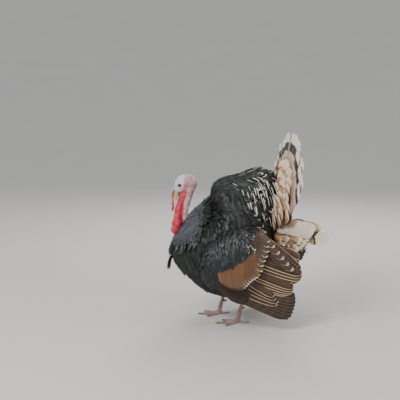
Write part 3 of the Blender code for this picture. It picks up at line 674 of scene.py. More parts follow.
def headField(x, y, z):
    # Below 0 inside: egg shapes, an upright tube for the neck and one for the wattle, joined softly.
    s = (x - headOrigin[0]) * ahead[0] + (z - headOrigin[2]) * ahead[2]
    c = (x - headOrigin[0]) * crown[0] + (z - headOrigin[2]) * crown[2]
    side = np.abs(y)
    skull, face = ((0.0, 0.0005, 0), (0.03, 0.027, 0.0225)), ((0.02, 0.005, 0), (0.022, 0.0185, 0.015))
    jaw = (0.014, -0.012, 0.004), (0.021, 0.009, 0.0095)
    brow = (0.0, 0.017, 0.014), (0.016, 0.005, 0.005)
    f = eggField(s, c, side, *skull)
    for egg, soft in ((face, 0.008), (jaw, 0.006), (brow, 0.006)):
        f = softMin(f, eggField(s, c, side, *egg), soft)
    nape = np.sqrt(((x + 0.13) / 0.037) ** 2 + (y / 0.025) ** 2 + ((z - 0.545) / 0.0375) ** 2)
    f = softMin(f, (nape - 1) * 0.028, 0.01)
    zx = np.interp(z, head["neckZ"], head["neckX"])
    radius = np.interp(z, head["neckZ"], head["neckRadius"]) * step(z, 0.38, 0.408)
    tube = np.hypot(x - zx, y * 1.03) - radius
    f = softMin(f, tube + 2.0 * np.clip(z - 0.553, 0, 1), 0.008)
    zx = smoothBetween(z, head["wattleZ"], head["wattleX"])
    wide = np.maximum(smoothBetween(z, head["wattleZ"], head["wattleWidth"]), 0.001)
    deep = np.maximum(smoothBetween(z, head["wattleZ"], head["wattleDepth"]), 0.001)
    q = np.sqrt(((x - zx) / deep) ** 2 + (y / wide) ** 2)
    f = softMin(f, (q - 1) * np.minimum(deep, wide) + 0.6 * np.clip(z - 0.522, 0, 1), 0.006)
    # the bill's lower half lies free in a groove of the throat
    groove = eggField(s, c, side, (0.058, -0.0062, 0), (0.026, 0.0075, 0.0105))
    return -softMin(-f, groove, 0.004)


def headGrid():
    # For each level and heading, the largest radius from the level's middle that is still inside the field.
    middleOf = lambda z: smoothBetween(z, head["middleZ"], head["middleX"])[:, None]
    z = np.linspace(0.56, 0.6, 400)
    high = z[(headField(middleOf(z), 0 * z[:, None], z[:, None]) < 0)[:, 0]].max()
    dome = high - 0.03  # above it the levels close up towards the crown, as the sine of even steps
    count = head["rows"] // 4
    z = np.concatenate([np.linspace(head["low"], dome, head["rows"] - count, endpoint=False),
                        dome + (high - dome) * np.sin(np.linspace(0, math.pi / 2, count))])
    turn, zx = circle(head["columns"]), middleOf(z)
    place = lambda r: (zx + r * np.cos(turn), r * np.sin(turn), z[:, None] + 0 * r)
    radius = np.full((len(z), len(turn)), 0.0004)
    for r in np.linspace(0.0006, 0.06, 100):
        radius = np.where(headField(*place(np.full_like(radius, r))) < 0, r, radius)
    low, far = radius, radius + 0.0006
    for _ in range(8):
        half = (low + far) / 2
        inside = headField(*place(half)) < 0
        low, far = np.where(inside, half, low), np.where(inside, far, half)
    low[-1] = 0.0003
    return np.stack(place(low), -1)


def lumps(p, centres, sizes, heights):
    # Rounded caruncles: each lifts the skin by height (1 - (d / size)^2)^0.7 within its size, and the
    # tallest wins. Also gives how near each point is to the middle of one.
    lift, cover = np.zeros(p.shape[:2]), np.zeros(p.shape[:2])
    for start in range(0, len(centres), 40):
        part = slice(start, start + 40)
        d = np.linalg.norm(p[:, :, None] - centres[part], axis=-1) / sizes[part]
        near = np.clip(1 - d**2, 0, 1)
        lift = np.maximum(lift, (heights[part] * near**0.7).max(-1))
        cover = np.maximum(cover, near.max(-1))
    return lift, cover


eye = {"along": 0.009, "above": 0.0085, "out": 0.0148, "radius": 0.0063}  # from the head's middle
ear = {"along": -0.015, "above": -0.007, "rim": 0.0046}
skinMarks = ("red", "blue", "mauve", "bare", "valley", "dusk")
bigLumps = np.array([[-0.186, -0.01, 0.371], [-0.186, 0.01, 0.368], [-0.192, 0.0, 0.362],
                     [-0.178, -0.015, 0.384], [-0.178, 0.015, 0.386], [-0.184, 0.0, 0.39]])


def headSkin():
    # The grid lifted along its normals by caruncles, wrinkles, lids and the ear's rim; marks for colours and
    # painted shade.
    p = headGrid()
    for _ in range(2):  # a light smoothing of the slices
        p[1:-1] = 0.5 * p[1:-1] + 0.25 * (p[:-2] + p[2:])
    n = unit(np.cross(np.roll(p, -1, 1) - np.roll(p, 1, 1), np.gradient(p, axis=0)))
    n *= np.where(dot(n, p - p.mean(1, keepdims=True)) < 0, -1.0, 1.0)[..., None]
    x, y, z = p[..., 0], p[..., 1], p[..., 2]
    s, c = dot(p - headOrigin, ahead), dot(p - headOrigin, crown)
    blue = step(-x, 0.131, 0.155) * step(z, 0.503, 0.524) * step(c, -0.016, 0.002)
    mauve = step(z, 0.518, 0.545) * step(-x, 0.098, 0.12)
    redLine = np.interp(z, [0.34, 0.373, 0.43, 0.478, 0.51, 0.54, 0.56],
                        [-0.146, -0.15, -0.148, -0.142, -0.134, -0.131, -0.15])
    red = step((redLine - x) / np.interp(z, [0.44, 0.53], [0.006, 0.012]), -1, 1)
    red = red * (step(z, 0.562, 0.54) * 0.45 + step(z, 0.535, 0.505) * 0.55) * (1 - blue)
    # caruncles: even spots over the grid, small behind the head and larger down the neck
    spots = evenPairs(1150, 0.31)
    i, j = (spots[:, 0] * 0.97 * p.shape[0]).astype(int), (spots[:, 1] * p.shape[1]).astype(int)
    level = p[i, j, 2]
    size = np.interp(level, [0.35, 0.4, 0.47, 0.52, 0.56], [0.0066, 0.005, 0.0038, 0.0027, 0.0019])
    size = size * (0.7 + 0.6 * chance(len(spots), 5))
    tall = size * np.interp(level, [0.35, 0.4, 0.5, 0.56], [0.46, 0.4, 0.3, 0.2])
    lift, cover = lumps(p, p[i, j] + n[i, j] * 0.0003, size, tall * (1 - 0.88 * blue[i, j]))
    bigLift, bigCover = lumps(p, bigLumps, np.full(6, 0.0125), np.full(6, 0.005))
    lift, cover = np.maximum(lift, bigLift), np.maximum(cover, bigCover)
    wrinkle = 0.00035 * np.sin(s * 900 + 5 * np.sin(y * 260)) * blue
    # lids and socket round the eye, and the ear's opening
    eyeReach = np.hypot(s - eye["along"], c - eye["above"])
    onSide = step(np.abs(y), 0.008, 0.014)
    lift += onSide * (0.0015 * np.exp(-((eyeReach - 0.008) / 0.0017) ** 2)
                      - 0.005 * step(eyeReach, 0.0068, 0.0048)
                      + 0.0006 * np.exp(-((eyeReach - 0.0118) / 0.0014) ** 2)) + wrinkle
    earReach = np.hypot((s - ear["along"]) / 1.2, c - ear["above"])
    rim = 0.0009 * np.exp(-((earReach - ear["rim"]) / 0.0014) ** 2)
    lift += onSide * (rim - 0.0014 * step(earReach, 0.0026, 0.001))
    # painted shade in the socket round the eye and in the ear's opening
    dusk = onSide * np.maximum(step(eyeReach, 0.0074, 0.006), 0.55 * step(earReach, 0.0026, 0.0014))
    # painted shade where no caruncle lifts the skin, less high on the head and none on the face
    valley = (1 - step(cover, 0.05, 0.55)) * (1 - blue) * step(z, 0.345, 0.36)
    valley = valley * (1 - 0.8 * step(z, 0.535, 0.56))
    return p + n * lift[..., None], dict(zip(skinMarks, (red, blue, mauve, 1.0, valley, dusk)))


snood = {"path": ((-0.174, 0, 0.529), (-0.1822, 0, 0.525), (-0.1872, 0.0005, 0.513),
                  (-0.1888, 0.0015, 0.492), (-0.1885, 0.0025, 0.466), (-0.1888, 0.003, 0.436)),
         "radii": ((0, 0.2, 0.6, 0.9, 1), (0.0078, 0.0056, 0.0049, 0.0052, 0.0022))}


def snoodRings():
    # A finger of skin: springs from the forehead, folds over and hangs; shallow rings wrinkle it.
    t = even(110)
    path = curveThrough(snood["path"], t)
    folds = 1 + 0.025 * np.sin(t * 96 + 2 * np.sin(t * 17)) + 0.05 * np.sin(t * 31 + 1)
    radius = smoothBetween(t, *snood["radii"]) * folds
    radius[-4:] *= np.array([0.92, 0.76, 0.5, 0.12])
    rings = ringsAlong(path, radius, radius * 0.93, 26, (0, 1, 0.1))
    turn, line = circle(26), rings.mean(1, keepdims=True)
    rough = 1 + 0.05 * np.sin(3 * turn + 9 * t[:, None]) + 0.03 * np.sin(7 * turn - 21 * t[:, None])
    return line + (rings - line) * rough[..., None], t


fluff = {"ventSpacing": 0.0105, "loose": 90, "thighSpacing": 0.008, "thighTop": 0.155,
         "ventDepth": 0.016, "thighDepth": 0.009}


def makeSkin():
    # The bare skin of head, neck and snood, and the skin that lies hidden under the feathers, which the
    # finish paints near black as shade.
    skin = Shells("skin", "skin", marks=skinMarks)
    points, marks = headSkin()
    skin.add(points, **marks)
    points, share = snoodRings()
    front = step(-(points[..., 0] - points[..., 0].mean(1, keepdims=True)), -0.001, 0.003)
    red = np.clip(step(share, 0.04, 0.22)[:, None] * (1 - 0.55 * front), 0, 1)
    skin.add(points, red=red, bare=1.0)
    skin.add(trunkSkin(*np.meshgrid(circle(120, 360), np.linspace(-87, 87, 60)))[0])
    for side, sign in sides.items():
        surface = shieldPoint(sign, shield["coat"])
        skin.add(surface(*np.meshgrid(circle(60, 360), np.linspace(-60, 88, 30)))[0])
        surface = thighSurface(side, fluff["thighDepth"])
        skin.add(surface(*np.meshgrid(even(24), circle(30, 360), indexing="ij"))[0])
    surface = undertailSurface(fluff["ventDepth"])
    skin.add(surface(*np.meshgrid(even(30), circle(40, 360), indexing="ij"))[0])
    skin.build("trunk", "neck", "head", "wattle", "snood", "thigh_left", "thigh_right", "undertail",
               "wing_left_coverts", "wing_right_coverts")


makeSkin()


smallRing = ((-1, 0, 1, 0), (0.0, 1.0, 0.0, -1.0))  # across and height of a thin vane's section
bigRing = ((-1, -0.62, -0.24, 0, 0.24, 0.62, 1, 0.62, 0.24, 0, -0.24, -0.62),
           (0.0, 0.7, 0.9, 1.7, 0.9, 0.7, 0.0, -0.7, -0.9, -1.5, -0.9, -0.7))
roundTip = ((0, 0.18, 0.42, 0.66, 0.84, 0.95, 1.0), (0.22, 0.62, 0.95, 1.0, 0.82, 0.5, 0.16))
softTip = ((0, 0.1, 0.3, 0.55, 0.75, 0.88, 0.95, 0.98, 1.0),
           (0.3, 0.55, 0.85, 1.0, 0.98, 0.8, 0.55, 0.34, 0.1))
bladeTip = ((0, 0.12, 0.35, 0.62, 0.8, 0.88, 0.925, 0.955, 0.978, 0.993, 1.0),
            (0.3, 0.6, 0.9, 1.0, 0.99, 0.94, 0.83, 0.69, 0.51, 0.3, 0.12))
fanTip = ((0, 0.1, 0.3, 0.6, 0.85, 0.95, 0.975, 0.99, 1.0),
          (0.12, 0.24, 0.48, 0.78, 1.0, 0.98, 0.84, 0.6, 0.22))
smallRows = (0, 0.22, 0.45, 0.68, 0.86, 0.96, 1.0)
bladeRows = (0, 0.12, 0.25, 0.38, 0.5, 0.62, 0.73, 0.82, 0.88, 0.925, 0.955, 0.978, 0.993, 1.0)
fanRows = (0, 0.1, 0.22, 0.34, 0.46, 0.57, 0.67, 0.76, 0.83, 0.88, 0.92, 0.95, 0.975, 0.99, 1.0)


def vanes(root, along, out, length, halfWidth, lift, curl, cup, twist=0.0, sway=0.0, ring=smallRing,
          rows=smallRows, profile=roundTip, thick=0.0007, fray=0.0, seed=1, hand=1.0):
    # Each shaft starts at lift degrees off the skin and bends back by curl over its length, an arc worked
    # out in closed form; the vane is a flat ring of points carried along it, cupped towards the skin.
    count = len(root)
    spread = lambda value: np.broadcast_to(np.asarray(value, float), (count,))[:, None]
    length, halfWidth, cup, twist, sway = map(spread, (length, halfWidth, cup, twist, sway))
    start, bend = np.radians(spread(lift)), np.radians(spread(curl))
    bend = np.where(np.abs(bend) < 1e-3, 1e-3, bend)
    out = unit(np.broadcast_to(out, root.shape))
    along = unit(along - out * dot(along, out)[:, None])
    side = (np.cross(along, out) * hand)[:, None]
    along, out = along[:, None], out[:, None]
    t = np.asarray(rows, float)[None]
    angle = start - bend * t
    forth = (np.sin(start) - np.sin(angle)) / bend
    rise = (np.cos(angle) - np.cos(start)) / bend
    line = root[:, None] + length[..., None] * (
        forth[..., None] * along + rise[..., None] * out + (sway * t**2)[..., None] * side)
    normal = out * np.cos(angle)[..., None] - along * np.sin(angle)[..., None]
    turn = np.radians(twist)[..., None]
    across = side * np.cos(turn) + normal * np.sin(turn)
    normal = normal * np.cos(turn) - side * np.sin(turn)
    width = (halfWidth * np.interp(t, *profile))[..., None]
    u, height = np.array(ring, float)
    ragged = 1 - fray * chance(count * len(rows) * len(u), seed).reshape(count, len(rows), len(u))
    drop = thick * (1 - 0.6 * t)[..., None] * height - cup[..., None] * width * u**2
    points = line[:, :, None] + across[:, :, None] * (width * u * ragged)[..., None]
    points = points + normal[:, :, None] * drop[..., None]
    first = points[0].reshape(-1, 3)
    quads, caps = outward(first - first.mean(0), *tubeFaces(len(rows), len(u)))
    offset = (np.arange(count) * len(rows) * len(u))[:, None, None]
    uv = joined(u * 0.5 + 0.5, t[..., None][0])
    return points, (quads + offset).reshape(-1, 4), (caps + offset).reshape(-1, len(u)), uv


bigVane = {"ring": bigRing, "rows": bladeRows, "thick": 0.0006}
flatVane = {**bigVane, "lift": 0.0, "curl": 0.0}
softVane = {**bigVane, "profile": softTip}


class Coat(Shells):
    # Layers of feathers in one mesh, with the vane map, the bake map and marks for the finish.
    def __init__(self, name, finish, slot=None):
        super().__init__(name, finish, slot, ("shade", "pale", "slate", "brown", "tip"))
        self.maps, self.crease = {"vane": [], "OFBake": []}, 70

    def add(self, root, along, out, place, patch=(0.003, 0.003), **shape):
        # place is the middle of each feather's patch on the bake map; a mark is one value a feather
        marks = {m: shape.pop(m) for m in self.marks if m in shape}
        points, quads, caps, uv = vanes(root, along, out, **shape)
        count, per = len(root), uv.size // 2
        points[..., 2] = np.maximum(points[..., 2], 0.004)
        self.gather(points.reshape(-1, 3), quads, caps)
        flat = np.broadcast_to(uv.reshape(1, per, 2), (count, per, 2))
        self.maps["vane"].append(flat.reshape(-1, 2))
        self.maps["OFBake"].append((place[:, None] + (flat - 0.5) * np.asarray(patch)).reshape(-1, 2))
        marks = {"shade": chance(count, self.count), **marks}
        for mark, values in self.marks.items():
            values.append(np.repeat(np.broadcast_to(marks.get(mark, 0.0), (count,)), per))


def pick(mask, values):  # the masked part of each array in a dictionary
    return {key: v[mask] if np.ndim(v) else v for key, v in values.items()}


def onMap(turn, lift):  # degrees round (0 to 360) and up (-90 to 90) as a place on the bake map
    return joined(turn / 360, (lift + 90) / 180)


def bendUnder(surface, u, v, flow, length):
    # Degrees that the surface turns away under a feather: its normal is read again a length further on,
    # reached through the two slopes of the surface, and set against the feather's own direction.
    p, n = surface(u, v)
    along = unit(flow - n * dot(flow, n)[:, None])
    pu, pv = surface(u + 1.0, v)[0] - p, surface(u, v + 1.0)[0] - p
    uu, uv, vv = dot(pu, pu), dot(pu, pv), dot(pv, pv)
    pullU, pullV = dot(pu, along) * length, dot(pv, along) * length
    det = np.maximum(uu * vv - uv**2, 1e-14)
    farU, farV = u + (pullU * vv - pullV * uv) / det, v + (pullV * uu - pullU * uv) / det
    far = surface(farU, np.clip(farV, -88, 88))[1]
    return np.degrees(np.arcsin(np.clip(dot(far, along), -0.4, 0.95)))


def cellsFor(count, left=0.02, right=0.98, low=0.02, high=0.98):
    # Strips side by side on the bake map, one for each large feather: middles and strip size.
    across = (right - left) / count
    place = joined(left + (np.arange(count) + 0.5) * across, (low + high) / 2)
    return place, (across * 0.9, (high - low) * 0.98)


def bodyFlow(p, n):
    # The lie of the body feathers: away from the neck along the back and over its front, down and a
    # little back on the flanks, back along the belly.
    back = (step(-np.abs(n[:, 1]), -0.72, -0.45) * step(p[:, 2], 0.4, 0.45))[:, None]
    belly = step(-n[:, 2], 0.55, 0.95)[:, None]
    flow = (np.array([0.3, 0, -1.0]) * (1 - belly) + np.array([1.0, 0, -0.1]) * belly) * (1 - back) \
        + unit(p * (1, 1.6, 1) - np.array([-0.14, 0, 0.4])) * back * 1.2
    return flow + 0.07 * np.stack([np.sin(p[:, 2] * 70), 0 * p[:, 0], np.cos(p[:, 0] * 60)], -1)


coat = {
    "body": {"spacing": 0.0098, "length": 0.054, "halfWidth": 0.008, "lift": 17.0, "curl": 11.0},
    "collar": {"spacing": 0.0072, "length": 0.03, "halfWidth": 0.0066, "lift": 13.0, "curl": 9.0},
    "rump": {"spacing": 0.0242, "lift": 24.0},
    "shoulder": {"spacing": 0.0092, "length": 0.043, "halfWidth": 0.0076, "lift": 15, "curl": 12.0},
    "underWing": {"spacing": 0.0125, "length": 0.042, "halfWidth": 0.0095, "lift": 8, "curl": 8},
}


def insideShield(p):  # true within 0.86 of the shield's ellipsoid, where body feathers wouldn't show
    centre = np.array(shield["centre"])
    tilt = math.radians(shield["tilt"])
    q = np.stack([p[:, 0] - centre[0], np.abs(p[:, 1]) - centre[1], p[:, 2] - centre[2]], -1)
    a = (q[:, 0] * math.cos(tilt) + q[:, 2] * math.sin(tilt)) / shield["half"][0]
    b = (-q[:, 0] * math.sin(tilt) + q[:, 2] * math.cos(tilt)) / shield["half"][1]
    return np.sqrt(a**2 + b**2 + (q[:, 1] / shield["lateral"]) ** 2) < 0.86


def makeBodyFeathers():
    # Feathers over the trunk, wider and more lifted on the rump and small on the collar. Each lies along
    # bodyFlow and bends by its own curl plus what the surface turns away under it.
    body, collar, rump = coat["body"], coat["collar"], coat["rump"]
    trunkRoots = lambda *options, **more: rootsOn(trunkSkin, (0, 360), (-86, 86), *options, **more)
    underNeck = lambda p: (p[:, 0] < -0.13) & (p[:, 2] > 0.4) & (np.abs(p[:, 1]) < 0.03)
    d, a, p, n = trunkRoots(lambda p, n: (1 - collarShare(p)) / body["spacing"] ** 2,
                            lambda p, a: ~insideShield(p) & ~underNeck(p))
    one, two, three = chances(len(p), 11, 12, 13)
    x, z = p[:, 0], p[:, 2]
    high = step(x, 0.055, 0.1) * step(z, 0.38, 0.46)
    brown = (step(z, 0.16, 0.08) * 0.4 + step(x, 0.13, 0.2) * step(z, 0.3, 0.2) * 0.8
             + (one > 0.95) * 0.5)
    size = 0.85 + 0.35 * two
    lift = body["lift"] * (0.75 + 0.5 * three) + (rump["lift"] - body["lift"]) * high * (0.7 + 0.6 * two)
    hump = step(n[:, 2], 0.0, 0.5) * step(x, 0.07, 0.01) * step(z, 0.42, 0.5)
    lift = (lift + 7 * step(n[:, 2], 0.35, 0.8) * step(x, 0.02, 0.08)) * (1 - 0.45 * hump)
    length = body["length"] * size * (1 - 0.2 * step(z, 0.16, 0.08) - 0.22 * hump)
    flow = bodyFlow(p, n)
    bend = bendUnder(trunkSkin, d, a, flow, length)
    feathers = {"root": p, "along": flow, "out": n, "place": onMap(d, a), "lift": lift,
                "pale": (high > 0.4) * (one < 0.07) * (0.6 + 0.4 * two), "brown": np.clip(brown, 0, 0.9),
                "length": length * (1 - 0.38 * step(bend, 22, 55)),
                "halfWidth": body["halfWidth"] * size * (1 + 0.15 * high),
                "curl": body["curl"] + 8 * two + bend, "cup": 0.4 + 0.3 * three,
                "twist": (one - 0.5) * 20, "sway": (two - 0.5) * 0.14, "fray": 0.12, "seed": 21}

    # ends of the rump's feathers, narrow and white, set up from the back
    def rumpShare(p, n):
        upper = step(p[..., 0], 0.055, 0.12) * step(p[..., 2], 0.385, 0.56)
        few = 0.04 * step(p[..., 0], -0.03, 0.03) * step(p[..., 2], 0.38, 0.44)
        return (upper * (1 + 1.3 * step(n[..., 2], 0.1, 0.6)) + few) / rump["spacing"] ** 2
    e, f, q, m = trunkRoots(rumpShare, start=0.2)
    flow = bodyFlow(q, m) * (0.35, 1, 1) + np.array([-0.06, 0, -0.55]) * (np.abs(m[:, 1:2]) > 0.45)
    one, two = chances(len(q), 17, 18)
    ends = {"root": q, "along": flow, "out": m, "place": onMap(e, f), "tip": 0.65 + 0.35 * one,
            "length": 0.046 + 0.034 * two, "halfWidth": 0.0015 + 0.0019 * one, "lift": 31 + 12 * one,
            "curl": 26.0 + 14 * two + bendUnder(trunkSkin, e, f, flow, 0.045), "cup": 0.55,
            "twist": (two - 0.5) * 40, "sway": (one - 0.5) * 0.25, "fray": 0.15, "seed": 24}
    for name, sign in (("bodyFeathersLeft", -1), ("bodyFeathersRight", 1)):
        layer = Coat(name, "body", "plumage")
        for rows in (feathers, ends):
            layer.add(**pick((rows["root"][:, 1] < 0) == (sign < 0), rows))
        layer.build()

    d, a, p, n = trunkRoots(lambda p, n: collarShare(p) / collar["spacing"] ** 2,
                            lambda p, a: ~((np.hypot(p[:, 0] + 0.14, p[:, 1]) < 0.016) & (p[:, 2] > 0.385)),
                            cells=(240, 160))
    one, two = chances(len(p), 14, 15)
    flow = (p - np.array([-0.15, 0, 0.42])) + np.array([0.02, 0, -0.055])
    edge = 1 - collarShare(p + unit(flow) * 0.02)
    curl = collar["curl"] + bendUnder(trunkSkin, d, a, flow, collar["length"])
    layer = Coat("collarFeathers", "body", "plumage")
    layer.add(p, flow, n, onMap(d, a), slate=0.85 + 0.15 * one - 0.35 * edge,
              length=collar["length"] * (0.85 + 0.3 * two), halfWidth=collar["halfWidth"] * (0.9 + 0.2 * one),
              lift=collar["lift"] * (0.8 + 0.5 * one), curl=curl, cup=0.22, twist=(two - 0.5) * 12,
              sway=(one - 0.5) * 0.08, fray=0.08, seed=22)
    layer.build()


makeBodyFeathers()


def makeShieldFeathers(name, side):
    # Wing coverts over the shield down to the copper band's upper edge, longer towards the rear.
    surface, small, under = shieldPoint(side, shield["coat"]), coat["shoulder"], coat["underWing"]
    above = lambda p: p[:, 2] - np.interp(p[:, 0], *shield["edge"])
    d, b, p, n = rootsOn(surface, (0, 360), (-8, 88), evenly(small["spacing"]),
                         lambda p, b: above(p) > 0.013)
    one, two, three = chances(len(p), 31, 32, 33)
    low = step(above(p), 0.05, 0.013)
    flow = joined(0.3 - 0.9 * (p[:, 2] - 0.32), 0, -1)
    rear = step(p[:, 0], 0.045, 0.085) * step(p[:, 2], 0.28, 0.31)
    size = 0.85 + 0.35 * two
    layer = Coat(name, "shoulder")
    layer.add(p, flow, n, onMap(d, b), pale=rear * (one < 0.3) * 0.8,
              length=small["length"] * size * (1 - 0.28 * low), halfWidth=small["halfWidth"] * size,
              lift=small["lift"] + 9 * three + 3 * low, cup=0.38 + 0.2 * two,
              curl=small["curl"] - 4 * low + bendUnder(surface, d, b, flow, 0.04),
              twist=(one - 0.5) * 16, sway=(two - 0.5) * 0.12, fray=0.1, seed=23)
    # the rear and the inner side, under the flight feathers
    d, b, p, n = rootsOn(surface, (0, 360), (-62, 20), evenly(under["spacing"]),
                         lambda p, b: (p[:, 0] > 0.0) & ((above(p) < 0.02) | (b < -4)), start=0.35)
    one, two = chances(len(p), 34, 35)
    flow = (0.55, 0, -1.0)
    layer.add(p, flow, n, onMap(d, b), brown=0.5 + 0.4 * one, length=under["length"] + 0.01 * two,
              halfWidth=under["halfWidth"], lift=under["lift"] * (1 + one),
              curl=under["curl"] + bendUnder(surface, d, b, flow, 0.04), cup=0.35,
              twist=(two - 0.5) * 16, sway=(one - 0.5) * 0.1, fray=0.12, seed=36)
    layer.build()


for sideName, sign in sides.items():
    makeShieldFeathers("shoulderFeathers" + sideName.title(), sign)


wing = {
    # in millimetres: x and z of the roots, their y, x and z of the tips, their y; lobes run from the
    # undermost to the topmost, each with its count of feathers and their half width in metres
    "primaries": (((-36, 166), (-16, 186), (30, 200)), (186, 192, 194),
                  ((204, 60), (222, 50), (236, 56), (244, 74), (250, 96),
                   (254, 118), (250, 142)), 216),
    "primaryCoverts": (((-44, 190), (-22, 208), (12, 222)), (190, 198, 204),
                       ((26, 122), (50, 112), (66, 120), (70, 142)), 209),
    "lobes": (
        (4, 0.0135, (((0, 184), (10, 206), (30, 226)), 193,
                     ((184, 106), (190, 112), (182, 122), (170, 142)), 221)),
        (5, 0.0165, (((20, 216), (30, 234), (44, 252)), 198,
                     ((226, 148), (238, 153), (244, 162), (243, 174)), 227)),
        (5, 0.019, (((50, 250), (58, 275), (68, 300)), 200,
                     ((256, 196), (268, 203), (274, 213), (272, 228)), 235))),
    "fill": (((80, 328), (92, 352), (102, 376)), 204,
             ((264, 246), (244, 264), (220, 286)), 238),
    "upperEdge": (((118, 376), (205, 318)), (198, 200),
                  ((269, 243), (266, 285)), (240, 226)),
    "crescents": (((240, 243), (222, 264), (203, 286), (186, 306), (168, 330)),
                  (245, 244, 243, 241, 238)),
    "crescentRoots": ((-84, -22, 50), (-80, -24, 52), (-74, -26, 53),
                      (-64, -28, 50), (-56, -30, 46)),  # from the tips
    "band": (((-34, 240), (-12, 252), (8, 264), (28, 277), (48, 289),
              (66, 301), (82, 314), (96, 330)),
             (196, 202, 206, 207, 206, 204, 201, 196),
             ((-22, 195), (-6, 180), (14, 173), (36, 170), (52, 175),
              (66, 190), (82, 206), (100, 216)),
             (230, 236, 239, 241, 242, 243, 243, 243)),
    "inner": (((70, 290), (84, 312), (96, 338), (108, 366), (118, 392)),
              (197, 190, 180, 168, 155),
              ((92, 213), (111, 226), (122, 244), (124, 264), (136, 284),
               (144, 304), (145, 326), (150, 348)),
              (243, 242, 241, 240, 239, 238, 234, 230)),
}


def withY(pairs, y):  # pairs of x and z, and y, in millimetres, as points in metres
    x, z = np.array(pairs).T
    return joined(x, y, z) / 1000


def blades(layer, roots, tips, side, cell, stack, sway, **shape):
    # Long feathers whose shafts bend by sway and end at tips; each next one lies stack further out.
    out = np.broadcast_to(unit(np.array([0.1, 1.0, -0.12])), roots.shape)
    flip = np.array([1, side, 1])
    lifted = out * (stack * np.arange(len(roots)))[:, None]
    roots, tips, out = (roots + lifted) * flip, (tips + lifted) * flip, out * flip
    chord = tips - roots
    sway = np.broadcast_to(sway, len(roots))
    length = np.linalg.norm(chord, axis=1) / np.sqrt(1 + sway**2)
    out = unit(out - unit(chord) * dot(out, unit(chord))[:, None])
    across = np.cross(unit(chord), out) * -side
    shape = {**flatVane, "cup": 0.03, "twist": 4.0, "profile": bladeTip, **shape}
    layer.add(roots, unit(chord) - across * sway[:, None], out, *cell, length=length, sway=sway, hand=-side,
              **shape)


def row(layer, side, count, curves, left, right, stack, sway, **shape):
    # Blades from a curve of roots to a curve of tips, in a part of the bake map.
    roots, tips = (curveThrough(withY(*curves[k:k + 2]), even(count)) for k in (0, 2))
    blades(layer, roots, tips, side, cellsFor(count, left, right), stack, sway, **shape)


def makeWing(name, side):
    # One row after the other, from the undermost primaries to the inner coverts.
    title = name.title()
    layer, t = Coat("primaries" + title, "quill"), even(10)
    row(layer, side, 10, wing["primaries"], 0.02, 0.6, 0.0011, -0.05 + 0.03 * t,
        halfWidth=0.014 + 0.004 * t, pale=np.where(t == 0, 0.45, 0.25 + 0.2 * t), fray=0.03,
        seed=41)
    row(layer, side, 9, wing["primaryCoverts"], 0.62, 0.98, 0.0004, -0.05, halfWidth=0.0095,
        pale=0.1, brown=1.0, shade=0.2, fray=0.1, seed=42)
    layer.build("wing_%s_primaries" % name)

    layer = Coat("secondaries" + title, "flight")
    for k, (count, halfWidth, curves) in enumerate(wing["lobes"]):
        row(layer, side, count, curves, 0.02 + 0.21 * k, 0.22 + 0.21 * k, 0.0017, -0.1 + 0.07 * even(count),
            halfWidth=halfWidth, pale=1.0, fray=0.02, seed=43 + k)
    # inner feathers, plain where the crescents cover them, then the upper edge and a loose feather beyond it
    row(layer, side, 6, wing["fill"], 0.66, 0.8, 0.001, -0.04, halfWidth=0.017,
        pale=0.25, brown=0.5, fray=0.03, seed=49)
    row(layer, side, 2, wing["upperEdge"], 0.82, 0.98, 0.0, (0.05, 0.12), halfWidth=(0.0135, 0.0125),
        pale=1.0, slate=1.0, brown=0.6, fray=0.03, seed=50)
    layer.build("wing_%s_secondaries" % name)

    layer, tips = Coat("tertials" + title, "tertial", "flight"), withY(*wing["crescents"])
    blades(layer, tips + np.array(wing["crescentRoots"]) / 1000, tips, side, cellsFor(5), 0.0004, -0.06,
           halfWidth=0.015, profile=roundTip, pale=1.0, tip=1.0, brown=0.35, curl=10.0,
           lift=7.0, fray=0.03, seed=47)
    layer.build()

    # copper band of greater coverts; the inner ones are brown with white edges
    layer, t = Coat("greaterCoverts" + title, "copper", "flight"), even(16)
    brown = 0.35 * chance(16, 48) + 0.35 * step(t, 0.5, 0.9)
    row(layer, side, 16, wing["band"], 0.02, 0.6, 0.0002, -0.05, halfWidth=0.0098, curl=12.0, lift=8.0,
        pale=step(t, 0.5, 0.72), brown=brown, tip=1.25, fray=0.04, seed=45)
    brown = np.minimum(0.7 + 0.6 * even(9), 1.0)
    row(layer, side, 9, wing["inner"], 0.62, 0.98, 0.0003, -0.07, halfWidth=0.0112, curl=12.0, lift=8.0,
        pale=1.0, brown=brown, tip=0.95, fray=0.05, seed=46)
    layer.build()


for sideName, sign in sides.items():
    makeWing(sideName, sign)
print("wings made")


tail = {
    "root": (0.22, 0.0, 0.336), "length": 0.412, "lean": 8.8, "sweep": 2.5, "turn": -2.5,
    "feathers": 19, "halfSpread": 59.0,
    # start, end, count, lift off the fan and half width of each row of coverts, in front and behind
    "coverts": ((0.178, 0.304, 17, 0.006, 0.024), (0.146, 0.266, 17, 0.0115, 0.0235),
                (0.112, 0.226, 16, 0.0175, 0.0225), (0.08, 0.186, 15, 0.0235, 0.021),
                (0.05, 0.146, 14, 0.029, 0.019), (0.024, 0.106, 12, 0.034, 0.016)),
    "undertail": ((0.12, 0.235, 17, 0.006, 0.019), (0.07, 0.18, 15, 0.012, 0.018),
                  (0.03, 0.13, 12, 0.018, 0.016)),
    # side coverts: angle and reach of the roots' and the tips' lines, each as start and change, and how pale
    "sideFans": (((51, 15), (0.12, -0.035), (77.0, 5.5), (0.332, -0.035), 0.92),
                 ((70, 30), (0.07, -0.02), (84.5, 14), (0.285, -0.075), 0.0)),
    # their rows: start and end along those lines, and lift
    "sideRows": ((0.34, 1.0, 0.005), (0.22, 0.84, 0.009), (0.1, 0.66, 0.013), (-0.02, 0.46, 0.017),
                 (-0.12, 0.26, 0.022)),
}
tailRoot = np.array(tail["root"])


